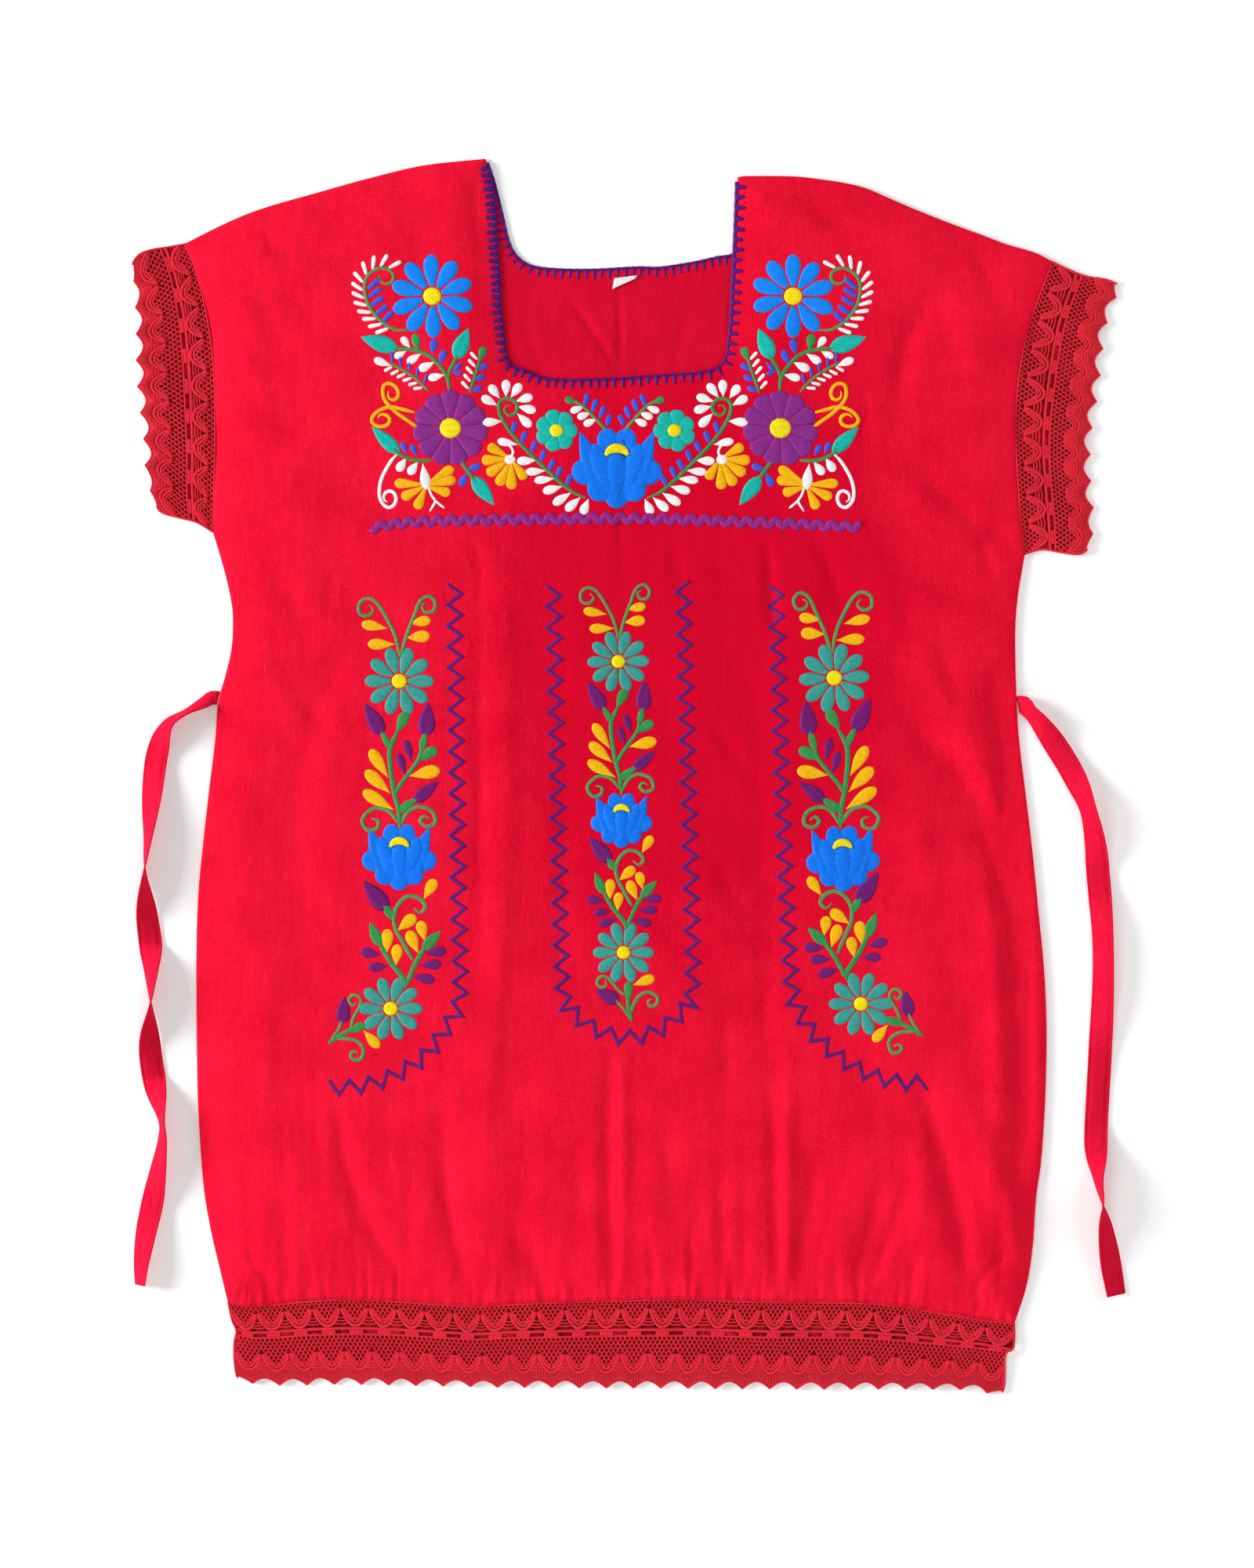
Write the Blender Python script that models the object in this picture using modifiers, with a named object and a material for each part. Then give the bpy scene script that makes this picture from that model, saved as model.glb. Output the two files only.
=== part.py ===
"""A red embroidered cotton dress, laid flat on its back.

Metres, +Z up. X runs across the dress, +Y towards its neck, and the origin is under the middle of its
outline, on the surface that it lies on. Left and right are as seen from above, with the neck at the top.
"""

import math
from collections import namedtuple

import bmesh
import bpy
import numpy as np
from mathutils.geometry import delaunay_2d_cdt

Fold = namedtuple("Fold", "line half_width rise")
Station = namedtuple("Station", "x y width turn")
Lace = namedtuple("Lace", "seam first_end outer last_end repeats slot_share")

MILLIMETRE = 0.001

# Driving dimensions, in millimetres
CLOTH_WALL = 1.2
LACE_WALL = 1.0
TIE_WALL = 1.2
LABEL_WALL = 1.0
SEAM_GAP = 0.3
FRONT_BED = CLOTH_WALL + SEAM_GAP
LACE_BED = LACE_WALL + SEAM_GAP
FRONT_CORD_RADIUS = 0.9
BACK_CORD_RADIUS = 0.6

# How loosely the front lies on the back
FULLNESS = 3.6
FULLNESS_REACH = 34.0
BLOUSING = 3.2
BLOUSING_PLACE = 62.0
BLOUSING_REACH = 48.0

# How a fold fades at its ends
FOLD_END_SHARE = 0.04
FOLD_END_SOFTNESS = 0.6

# The gathers where the front is drawn into the hem lace
GATHERS = 80
GATHER_UNEVENNESS = 0.24
GATHER_RISE = 1.1
GATHER_REACH = 13.0
GATHER_ROWS = (6.0, 14.0)

# The lace: one repeat holds a point of the edge and a slot between its two rows
POINT_DEPTH = 4.8
POINT_PROFILE = ((0.0, 1.0), (0.18, 0.82), (0.34, 0.48), (0.5, 0.0), (0.66, 0.48), (0.82, 0.82))
SLOT_LENGTH_SHARE = 0.56
SLOT_WIDTH = 2.4
FRONT_FIRST_SLOT = 1.0
BACK_FIRST_SLOT = 0.5
LACE_WAVE = 0.7
LACE_WAVE_LENGTH = 74.0

# How finely the outlines and the panels are divided
OUTLINE_STEP = 13.0
SEAM_STEP = 6.5
PANEL_STEP = 30.0
FOLD_STEP = 17.0
NECK_STEP = 9.0
TIE_STEP = 6.0
FINE_STEP = 4.0
COARSE_STEP = 20.0
FOLD_SIDES = (0.0, -0.9, 0.9, -2.0, 2.0)
FOLD_POINTS_ABOVE_HEM = 34.0
GRID_ABOVE_HEM = 40.0
GRID_REACH = (360.0, 420.0)
FOLD_POINT_GAP = 6.0
GRID_POINT_GAP = 0.55 * PANEL_STEP

# Outlines, in millimetres, each row a point (x, y) on a smooth line
HEM_SEAM = (
    (-271.4, -354.0), (-257.0, -357.2), (-242.0, -356.2), (-219.0, -353.6), (-193.0, -352.5),
    (-158.0, -353.5), (-122.0, -356.2), (-104.0, -357.6), (-79.0, -355.6), (-23.0, -353.5),
    (36.0, -352.5), (95.0, -354.0), (154.0, -354.6), (183.0, -357.2), (202.5, -360.4),
    (232.0, -365.2), (260.2, -368.9),
)
RIGHT_SIDE = (
    (260.2, -368.9), (268.2, -344.0), (272.4, -318.5), (275.0, -283.0), (278.3, -259.0),
    (281.0, -218.0), (282.0, -172.0), (280.4, -131.0), (277.0, -95.0), (272.5, -50.0),
    (267.5, -8.0), (263.5, 25.0), (261.6, 56.0), (260.8, 96.0), (262.5, 122.0), (267.3, 151.0),
)
RIGHT_ARMHOLE = (
    (267.3, 151.0), (264.5, 171.7), (262.0, 203.0), (260.8, 228.0), (261.4, 257.0),
    (264.5, 282.0), (269.0, 302.0), (275.0, 321.0), (281.4, 337.6), (285.5, 349.0),
)
RIGHT_SHOULDER = (
    (285.5, 349.0), (274.0, 354.8), (254.9, 360.4), (238.0, 366.8), (217.8, 374.2),
    (197.7, 382.1), (177.6, 390.6), (160.6, 398.0), (145.2, 401.9), (128.3, 404.4),
    (109.7, 406.3), (79.5, 406.5), (73.2, 405.6),
)
FRONT_NECK = (
    (73.2, 405.6), (72.6, 387.0), (71.6, 362.0), (70.5, 337.6), (69.4, 315.0), (67.8, 296.0),
    (65.5, 283.5), (60.0, 276.4), (47.2, 273.2), (30.7, 271.9), (12.0, 270.6), (-7.0, 269.2),
    (-24.0, 268.6), (-43.0, 268.2), (-59.5, 270.0), (-71.6, 275.0), (-79.6, 277.6),
    (-83.2, 282.5), (-85.3, 295.2), (-87.6, 314.0), (-88.6, 333.0), (-89.6, 350.0),
    (-90.9, 368.0), (-92.2, 388.0), (-94.3, 404.9), (-97.5, 418.2),
)
BACK_NECK = (
    (76.5, 405.9), (76.0, 380.0), (74.6, 362.0), (70.0, 353.4), (59.9, 351.4), (48.2, 348.7),
    (37.1, 346.6), (19.6, 344.2), (4.8, 344.4), (-21.7, 342.9), (-42.9, 342.9), (-60.4, 344.2),
    (-70.5, 347.4), (-77.9, 354.2), (-82.2, 363.6), (-85.9, 379.0), (-89.4, 393.8),
    (-92.6, 405.4), (-97.0, 418.2),
)
LEFT_SHOULDER = (
    (-97.5, 418.2), (-139.4, 413.6), (-176.0, 405.0), (-212.0, 395.0), (-248.6, 384.4),
    (-273.0, 374.5), (-300.5, 360.8),
)
LEFT_ARMHOLE = (
    (-300.5, 360.8), (-293.6, 345.6), (-286.7, 320.1), (-282.5, 295.7), (-279.9, 267.0),
    (-279.6, 224.7), (-280.6, 186.0), (-281.4, 165.8),
)
LEFT_SIDE = (
    (-281.4, 165.8), (-276.0, 148.0), (-270.8, 128.0), (-268.0, 110.0), (-268.8, 88.0),
    (-273.0, 69.0), (-277.8, 51.0), (-280.0, 25.0), (-284.0, -8.0), (-288.0, -44.0),
    (-291.2, -77.0), (-292.6, -120.0), (-292.2, -190.0), (-291.2, -226.0), (-288.0, -273.0),
    (-283.4, -303.0), (-276.5, -333.0), (-271.4, -354.0),
)

# The lace bands: the seam, the ends as rows of points, and the line through the tips of the points
HEM_LACE = Lace(
    seam=HEM_SEAM,
    first_end=(
        (-268.7, -366.2), (-265.6, -373.6), (-267.0, -381.0), (-267.2, -392.0), (-266.0, -402.5),
    ),
    outer=(
        (-263.6, -408.6), (-234.0, -410.6), (-180.0, -410.2), (-90.0, -412.0), (30.0, -412.8),
        (130.0, -413.4), (215.0, -413.4), (234.0, -414.4), (250.5, -418.2),
    ),
    last_end=((253.6, -411.0), (254.2, -390.0), (259.4, -386.0), (260.4, -378.0)),
    repeats=28,
    slot_share=0.375,
)
LEFT_CUFF = Lace(
    seam=LEFT_ARMHOLE,
    first_end=((-313.0, 358.6), (-322.0, 357.2), (-330.2, 354.4), (-335.2, 348.8)),
    outer=(
        (-335.4, 344.0), (-334.4, 325.0), (-333.6, 300.0), (-333.2, 271.4), (-330.6, 245.0),
        (-327.8, 222.0), (-326.8, 203.0), (-320.4, 186.0),
    ),
    last_end=((-316.4, 179.2), (-304.0, 175.4), (-292.4, 172.4)),
    repeats=9,
    slot_share=0.36,
)
RIGHT_CUFF = Lace(
    seam=tuple(reversed(RIGHT_ARMHOLE)),
    first_end=((297.3, 343.4), (309.0, 338.9), (322.0, 336.8)),
    outer=(
        (332.6, 332.6), (326.6, 318.0), (321.4, 300.0), (319.2, 277.0), (316.4, 255.5),
        (312.6, 234.0), (311.6, 213.0), (312.8, 192.0), (314.6, 173.3), (311.6, 156.0),
    ),
    last_end=((304.6, 150.8), (292.0, 152.0), (279.5, 154.2)),
    repeats=10,
    slot_share=0.42,
)

# The front's largest folds: the line each follows, its half width and its height, or depth below nought
FOLDS = (
    Fold((
        (244.0, 66.0), (252.0, 20.0), (258.0, -58.0), (263.0, -140.0), (262.0, -225.0), (259.0, -290.0),
    ), 7.5, -4.6),
    Fold(((172.0, 50.0), (212.0, -6.0), (246.0, -60.0), (258.0, -86.0)), 11.0, -2.6),
    Fold(((184.0, 104.0), (218.0, 48.0), (262.0, -26.0)), 12.0, 2.4),
    Fold(((192.0, -202.0), (206.0, -246.0), (218.0, -300.0), (226.0, -342.0)), 7.0, -4.2),
    Fold(((214.0, -206.0), (236.0, -270.0), (256.0, -338.0)), 10.0, 2.8),
    Fold(((176.0, -262.0), (162.0, -308.0), (152.0, -344.0)), 7.0, -2.8),
    Fold(((128.0, -260.0), (120.0, -302.0), (112.0, -344.0)), 7.0, -3.4),
    Fold(((104.0, -182.0), (103.0, -262.0), (102.0, -344.0)), 5.0, 2.6),
    Fold(((91.0, -212.0), (95.0, -276.0), (96.0, -344.0)), 5.0, -2.4),
    Fold(((-9.0, -186.0), (-8.0, -262.0), (-8.0, -344.0)), 5.0, 2.4),
    Fold(((-20.0, -186.0), (-19.0, -262.0), (-17.0, -344.0)), 6.0, -2.6),
    Fold(((-129.0, -214.0), (-121.0, -300.0), (-111.0, -348.0)), 8.0, -2.8),
    Fold(((-197.0, -218.0), (-186.0, -282.0), (-152.0, -342.0)), 7.0, -2.4),
    Fold(((-96.0, 160.0), (-94.0, 20.0), (-100.0, -160.0), (-98.0, -330.0)), 15.0, 1.8),
    Fold(((-82.0, -300.0), (-60.0, -346.0)), 7.0, -2.2),
    Fold(((-244.0, 148.0), (-214.0, 96.0)), 8.0, -1.8),
    Fold(((-190.0, 92.0), (-216.0, 28.0)), 9.0, -1.8),
    Fold(((238.0, 346.0), (256.0, 306.0)), 9.0, -2.6),
    Fold(((198.0, 226.0), (238.0, 212.0)), 11.0, -2.2),
    Fold(((246.0, 178.0), (262.0, 146.0)), 8.0, -2.4),
    Fold(((-256.0, 330.0), (-228.0, 286.0)), 8.0, -1.6),
)

# The ties: each row is a place on the tie's middle line, its width there, and how far it is turned
# about that line in degrees, where 0 lies flat and 90 stands on edge
LEFT_TIE = (
    Station(-277.9, 53.6, 9.6, 2), Station(-281.9, 54.0, 9.8, 16), Station(-288.0, 50.4, 11.0, 46),
    Station(-299.5, 44.2, 13.0, 72), Station(-312.0, 35.2, 15.4, 56), Station(-319.0, 16.0, 15.6, 14),
    Station(-322.2, -9.0, 15.8, 26), Station(-324.6, -38.0, 15.8, 62), Station(-327.0, -64.0, 15.8, 90),
    Station(-325.8, -92.0, 15.8, 150), Station(-323.8, -111.0, 15.8, 176),
    Station(-322.8, -127.0, 15.8, 222), Station(-323.0, -154.0, 15.8, 270),
    Station(-323.8, -181.0, 15.8, 334), Station(-321.4, -202.5, 15.8, 360),
    Station(-315.9, -229.5, 15.8, 428), Station(-315.1, -245.0, 15.8, 424),
    Station(-318.8, -269.2, 15.8, 398), Station(-322.4, -288.0, 15.8, 376),
    Station(-326.5, -307.4, 15.8, 386), Station(-329.4, -327.5, 15.0, 404),
    Station(-330.4, -342.6, 12.0, 412),
)
RIGHT_TIE = (
    Station(262.6, 49.2, 12.0, 2), Station(266.4, 49.4, 12.2, 20), Station(270.2, 44.6, 13.0, 44),
    Station(276.1, 38.2, 15.0, 44), Station(288.9, 20.7, 15.8, 12), Station(300.0, 2.0, 15.8, 14),
    Station(309.0, -19.6, 15.8, 50), Station(314.3, -42.4, 15.8, 34), Station(317.0, -67.0, 15.8, 6),
    Station(319.6, -105.0, 15.8, 30), Station(319.9, -142.0, 15.8, 28), Station(318.0, -190.0, 15.8, 4),
    Station(315.4, -240.0, 15.8, 4), Station(316.0, -268.0, 15.8, 66), Station(319.1, -286.0, 15.8, 90),
    Station(321.2, -302.0, 15.8, 128), Station(325.0, -327.0, 15.8, 156), Station(329.0, -349.6, 14.0, 160),
)

NECK_LABEL = ((-11.4, 330.2), (4.4, 337.4), (5.2, 339.4), (-10.2, 337.4))

# sRGB colour, roughness
CLOTH_RED = ((0.86, 0.03, 0.16), 0.88)
INSIDE_RED = ((0.78, 0.05, 0.16), 0.9)
LACE_RED = ((0.72, 0.06, 0.14), 0.8)
CORD_VIOLET = ((0.29, 0.10, 0.55), 0.7)
LABEL_WHITE = ((0.93, 0.91, 0.92), 0.75)


def smooth_line(rows, step):
    """Points about a step apart on a Catmull-Rom curve through the rows, of any number of columns."""
    rows = [np.array(row, float) for row in rows]
    rows = [2 * rows[0] - rows[1]] + rows + [2 * rows[-1] - rows[-2]]
    points = []
    for before, start, end, after in zip(rows, rows[1:], rows[2:], rows[3:]):
        pieces = max(1, round(float(np.linalg.norm((end - start)[:2])) / step))
        for t in np.arange(pieces) / pieces:
            bend = (2 * before - 5 * start + 4 * end - after) * t**2
            twist = (3 * start - before - 3 * end + after) * t**3
            points.append(start + 0.5 * ((end - before) * t + bend + twist))
    points.append(rows[-2])
    return np.array(points)


def along(line, shares):
    """The points at these shares of a line's length."""
    lengths = np.concatenate([[0.0], np.cumsum(np.linalg.norm(np.diff(line, axis=0), axis=1))])
    places = np.asarray(shares) * lengths[-1]
    return np.column_stack([np.interp(places, lengths, line[:, axis]) for axis in (0, 1)])


def distance_to(points, line):
    """How far each point is from an open line, and the share of the line's length nearest to it."""
    starts, ends = line[:-1], line[1:]
    runs = ends - starts
    sizes = np.linalg.norm(runs, axis=1)
    offsets = points[:, None, :] - starts[None, :, :]
    shares = np.clip((offsets * runs).sum(axis=2) / sizes**2, 0.0, 1.0)
    gaps = np.linalg.norm(offsets - shares[..., None] * runs, axis=2)
    nearest = gaps.argmin(axis=1)
    before = np.concatenate([[0.0], np.cumsum(sizes)])
    each = np.arange(len(points))
    places = before[nearest] + shares[each, nearest] * sizes[nearest]
    return gaps[each, nearest], places / before[-1]


def gather_columns():
    """Shares of the hem seam's length: a ridge, a trough, a ridge and so on, unevenly spaced."""
    ridges = (np.arange(GATHERS) + 0.5 + GATHER_UNEVENNESS * np.sin(2.4 * np.arange(GATHERS))) / GATHERS
    troughs = np.concatenate([[0.0], (ridges[1:] + ridges[:-1]) / 2, [1.0]])
    return np.sort(np.concatenate([ridges, troughs]))


HEM_LINE = smooth_line(HEM_SEAM, FINE_STEP)
FRONT_OUTLINE_LINE = smooth_line(
    HEM_SEAM + RIGHT_SIDE[1:] + RIGHT_ARMHOLE[1:] + RIGHT_SHOULDER[1:] + FRONT_NECK[1:]
    + LEFT_SHOULDER[1:] + LEFT_ARMHOLE[1:] + LEFT_SIDE[1:],
    COARSE_STEP,
)
FOLD_LINES = [smooth_line(fold.line, FOLD_STEP) for fold in FOLDS]
COLUMNS = gather_columns()


def gathers_at(hem_gap, hem_share):
    """Rise of the gathers: a wave along the seam, which dies away above it."""
    phase = np.interp(hem_share, COLUMNS, np.arange(len(COLUMNS)))
    strength = 0.72 + 0.28 * np.sin(31.0 * hem_share + 1.2)
    fade = np.clip(1.0 - hem_gap / (2.0 * GATHER_REACH), 0.0, 1.0)
    return GATHER_RISE * 0.5 * (1.0 - np.cos(math.pi * phase)) * strength * fade**1.5


def folds_at(points):
    """Rise of the large folds, each a soft ridge or trough that tapers at both ends."""
    rise = np.zeros(len(points))
    for fold, line in zip(FOLDS, FOLD_LINES):
        gap, share = distance_to(points, line)
        reach = FOLD_END_SHARE + (1.0 - 2.0 * FOLD_END_SHARE) * share
        taper = np.sin(math.pi * reach) ** FOLD_END_SOFTNESS
        rise += fold.rise * taper * np.exp(-((gap / fold.half_width) ** 2))
    return rise


def front_height(points):
    """Height of the front's underside above the surface, in millimetres."""
    edge_gap = distance_to(points, FRONT_OUTLINE_LINE)[0]
    hem_gap, hem_share = distance_to(points, HEM_LINE)
    slack = FULLNESS * np.sin(0.5 * math.pi * np.clip(edge_gap / FULLNESS_REACH, 0.0, 1.0))
    bloused = BLOUSING * np.exp(-(((hem_gap - BLOUSING_PLACE) / BLOUSING_REACH) ** 2))
    bloused *= np.clip(edge_gap / FULLNESS_REACH, 0.0, 1.0)
    held = np.clip(edge_gap / (0.5 * FULLNESS_REACH), 0.0, 1.0)
    loose = np.maximum(slack + bloused + held * folds_at(points), 0.0)
    return FRONT_BED + loose + gathers_at(hem_gap, hem_share)


def flat_on_surface(points):
    return np.zeros(len(points))


def front_lace_height(points):
    """The upper layer of lace lies on the lower one in a shallow wave."""
    waves = np.sin(2 * math.pi * (points[:, 0] + points[:, 1]) / LACE_WAVE_LENGTH)
    return LACE_BED + LACE_WAVE * (1.0 + waves)


def moved_in(line, gap):
    """A line moved to its left by a gap, as seen along it."""
    runs = np.gradient(line, axis=0)
    runs /= np.linalg.norm(runs, axis=1)[:, None]
    return line + gap * np.column_stack([-runs[:, 1], runs[:, 0]])


def panel_outline(hem, neck):
    """One panel's outline, anticlockwise, from its hem line and the rows of its neck edge."""
    sides = (RIGHT_SIDE, RIGHT_ARMHOLE, RIGHT_SHOULDER)
    others = (LEFT_SHOULDER, LEFT_ARMHOLE, LEFT_SIDE)
    pieces = [hem]
    pieces += [smooth_line(rows, OUTLINE_STEP)[1:] for rows in sides]
    pieces += [smooth_line(neck, NECK_STEP)]
    pieces += [smooth_line(rows, OUTLINE_STEP)[1:] for rows in others]
    return np.concatenate(pieces)[:-1]


def front_outline():
    """The front's outline, with a point at each ridge and trough of the hem's gathers."""
    return panel_outline(along(HEM_LINE, COLUMNS), FRONT_NECK)


def back_outline():
    return panel_outline(smooth_line(HEM_SEAM, SEAM_STEP), BACK_NECK)


def lace_point(lace, share, depth):
    """A point at this share of the band's length and of its depth from the seam."""
    near = along(smooth_line(lace.seam, FINE_STEP), [share])[0]
    far = along(smooth_line(lace.outer, FINE_STEP), [share])[0]
    return near + depth * (far - near)


def lace_outline(lace, seam_line, outward):
    """The band's outline: its seam, its ends and its row of points, clear of the cloth by the seam gap."""
    seam = moved_in(seam_line, outward * SEAM_GAP)
    tips = []
    for repeat in range(lace.repeats):
        for part, drop in POINT_PROFILE:
            share = (repeat + part) / lace.repeats
            near = lace_point(lace, share, 0.0)
            far = lace_point(lace, share, 1.0)
            depth = float(np.linalg.norm(far - near))
            tips.append(far + (near - far) * POINT_DEPTH * drop / depth)
    outline = list(seam) + list(reversed(lace.last_end)) + tips[::-1] + list(reversed(lace.first_end))
    return np.array(outline, float)


def lace_slots(lace, first):
    """The slots between the two rows of the band, a repeat apart from the first, as four corners each."""
    slots = []
    for middle in (np.arange(int(lace.repeats - first + 0.5)) + first) / lace.repeats:
        half = 0.5 * SLOT_LENGTH_SHARE / lace.repeats
        depth = float(np.linalg.norm(lace_point(lace, middle, 1.0) - lace_point(lace, middle, 0.0)))
        half_width = 0.5 * SLOT_WIDTH / depth
        corners = ((-half, -half_width), (half, -half_width), (half, half_width), (-half, half_width))
        slots.append([lace_point(lace, middle + du, lace.slot_share + dv) for du, dv in corners])
    return slots


def kept_apart(points, taken, gap):
    """The points that lie at least a gap from those taken and from each other."""
    kept = list(taken)
    for point in points:
        if min(math.hypot(point[0] - x, point[1] - y) for x, y in kept) >= gap:
            kept.append(tuple(point))
    return kept[len(taken):]


def above_hem(points, gap):
    """The points that are more than a gap from the hem seam."""
    gaps = distance_to(np.array(points), HEM_LINE)[0]
    return [tuple(point) for point, found in zip(points, gaps) if found > gap]


def panel_grid():
    """Points inside the front: rows along the gathers, rows along each fold, and an even grid between."""
    gathers = []
    shares = COLUMNS[2:-2]
    for row in GATHER_ROWS:
        gathers += list(along(HEM_LINE, shares) + np.array((0.0, row)))
    gathers += list(along(HEM_LINE, shares[::2]) + np.array((0.0, 2.0 * GATHER_REACH)))
    folds = []
    for fold, line in zip(FOLDS, FOLD_LINES):
        for side in FOLD_SIDES:
            folds += list(moved_in(line, side * fold.half_width))
    row_gap = PANEL_STEP * math.sqrt(0.75)
    columns = round(GRID_REACH[0] / PANEL_STEP)
    rows = round(GRID_REACH[1] / row_gap)
    even = [
        ((column + 0.5 * (row % 2)) * PANEL_STEP, row * row_gap)
        for row in range(-rows, rows + 1)
        for column in range(-columns, columns + 1)
    ]
    edge = [tuple(point) for point in front_outline()]
    folds = kept_apart(above_hem(folds, FOLD_POINTS_ABOVE_HEM), edge, FOLD_POINT_GAP)
    even = kept_apart(above_hem(even, GRID_ABOVE_HEM), edge + folds, GRID_POINT_GAP)
    return gathers + folds + even


def divided(outline, holes, inner):
    """Triangles that fill an outline, with its holes left out: (points, faces)."""
    points = [tuple(point) for point in outline]
    edges = [(i, (i + 1) % len(points)) for i in range(len(points))]
    corners = []
    for hole in holes:
        first = len(points)
        points += [tuple(corner) for corner in hole]
        edges += [(first + i, first + (i + 1) % len(hole)) for i in range(len(hole))]
        corners.append(set(range(first, first + len(hole))))
    points += [tuple(point) for point in inner]
    inside_the_edges = 1
    found = delaunay_2d_cdt(points, edges, [], inside_the_edges, 1e-4)
    given = [set(sources) for sources in found[3]]
    faces = [
        face for face in found[2]
        if not any(all(given[corner] & hole for corner in face) for hole in corners)
    ]
    return np.array([tuple(point) for point in found[0]]), faces


def material(name, look):
    """A Principled material from an sRGB colour and a roughness."""
    colour, roughness = look
    made = bpy.data.materials.new(name)
    made.use_nodes = True
    shader = made.node_tree.nodes["Principled BSDF"]
    linear = [((value + 0.055) / 1.055) ** 2.4 if value > 0.04 else value / 12.92 for value in colour]
    shader.inputs["Base Color"].default_value = (*linear, 1.0)
    shader.inputs["Roughness"].default_value = roughness
    shader.inputs["Metallic"].default_value = 0.0
    made.diffuse_color = (*linear, 1.0)
    return made


def placed(name, data, look, collection):
    """An object of this name in the dress's collection, with its material."""
    made = bpy.data.objects.new(name, data)
    data.materials.append(look)
    collection.objects.link(made)
    return made


def sheet(name, outline, holes, inner, height, wall, look, collection):
    """Cloth or lace: a divided outline raised to its height, with a wall above it."""
    points, faces = divided(outline, holes, inner)
    raised = np.column_stack([points, height(points)]) * MILLIMETRE
    data = bpy.data.meshes.new(name)
    data.from_pydata(raised.tolist(), [], faces)
    shape = bmesh.new()
    shape.from_mesh(data)
    bmesh.ops.recalc_face_normals(shape, faces=shape.faces)
    if sum(face.normal.z for face in shape.faces) < 0:
        bmesh.ops.reverse_faces(shape, faces=shape.faces)
    shape.to_mesh(data)
    shape.free()
    data.shade_smooth()
    made = placed(name, data, look, collection)
    solidify = made.modifiers.new("Wall", "SOLIDIFY")
    solidify.thickness = wall * MILLIMETRE
    solidify.offset = 1.0
    return made


def cord(name, rows, radius, look, collection):
    """A round cord along rows of (x, y, z), in millimetres."""
    data = bpy.data.curves.new(name, "CURVE")
    data.dimensions = "3D"
    spline = data.splines.new("POLY")
    spline.points.add(len(rows) - 1)
    for point, row in zip(spline.points, rows):
        point.co = (*(float(value) * MILLIMETRE for value in row), 1.0)
    data.bevel_depth = radius * MILLIMETRE
    data.bevel_resolution = 1
    data.use_fill_caps = True
    return placed(name, data, look, collection)


def front_neck_cord(look, collection):
    """The bead of stitching on the front's neck edge, in the opening, level with the wall."""
    edge = smooth_line(FRONT_NECK, NECK_STEP)[1:-1]
    line = moved_in(edge, -(SEAM_GAP + FRONT_CORD_RADIUS))
    heights = front_height(edge) + FRONT_CORD_RADIUS
    return cord("front_neck_edging", np.column_stack([line, heights]), FRONT_CORD_RADIUS, look, collection)


def back_neck_cord(look, collection):
    """The same on the back's neck edge, lying on the surface."""
    line = moved_in(smooth_line(BACK_NECK, NECK_STEP)[1:-1], -(SEAM_GAP + BACK_CORD_RADIUS))
    heights = np.full(len(line), BACK_CORD_RADIUS)
    return cord("back_neck_edging", np.column_stack([line, heights]), BACK_CORD_RADIUS, look, collection)


def tie(name, stations, look, collection):
    """A flat ribbon swept along its stations, which turns about its middle line and rests on the surface."""
    rows = smooth_line(stations, TIE_STEP)
    runs = np.gradient(rows[:, :2], axis=0)
    runs /= np.linalg.norm(runs, axis=1)[:, None]
    turns = np.radians(rows[:, 3])
    shape = bmesh.new()
    rings = []
    for (x, y, width, _), (run_x, run_y), turn in zip(rows, runs, turns):
        side = np.array((-run_y * math.cos(turn), run_x * math.cos(turn), math.sin(turn)))
        face = np.array((run_y * math.sin(turn), -run_x * math.sin(turn), math.cos(turn)))
        lift = 0.5 * (abs(side[2]) * width + abs(face[2]) * TIE_WALL)
        middle = np.array((x, y, lift))
        corners = ((-1, -1), (1, -1), (1, 1), (-1, 1))
        ring = [middle + 0.5 * (a * width * side + b * TIE_WALL * face) for a, b in corners]
        rings.append([shape.verts.new(corner * MILLIMETRE) for corner in ring])
    for first, second in zip(rings, rings[1:]):
        # Both faces of the ribbon are split along the same diagonal, or they would cross where it turns
        for i, j in ((0, 1), (1, 2), (3, 2), (0, 3)):
            shape.faces.new((first[i], first[j], second[j]))
            shape.faces.new((first[i], second[j], second[i]))
    shape.faces.new(rings[0][::-1])
    shape.faces.new(rings[-1])
    bmesh.ops.recalc_face_normals(shape, faces=shape.faces)
    data = bpy.data.meshes.new(name)
    shape.to_mesh(data)
    shape.free()
    return placed(name, data, look, collection)


def label(look, collection):
    """The blank folded label inside the back of the neck."""
    def on_the_back(points):
        return np.full(len(points), FRONT_BED)
    return sheet("neck_label", NECK_LABEL, [], [], on_the_back, LABEL_WALL, look, collection)


def lace_pair(place, lace, outward, look, collection):
    """The band's two layers, each of them a node: the tube that it makes is open at both ends."""
    seams = [smooth_line(lace.seam, OUTLINE_STEP)] * 2
    if lace is HEM_LACE:
        seams = [smooth_line(HEM_SEAM, SEAM_STEP), along(HEM_LINE, COLUMNS)]
    layers = (("back", flat_on_surface, BACK_FIRST_SLOT), ("front", front_lace_height, FRONT_FIRST_SLOT))
    for (layer, height, first), seam in zip(layers, seams):
        outline = lace_outline(lace, seam, outward)
        slots = lace_slots(lace, first)
        sheet(f"{place}_{layer}", outline, slots, [], height, LACE_WALL, look, collection)


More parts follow.
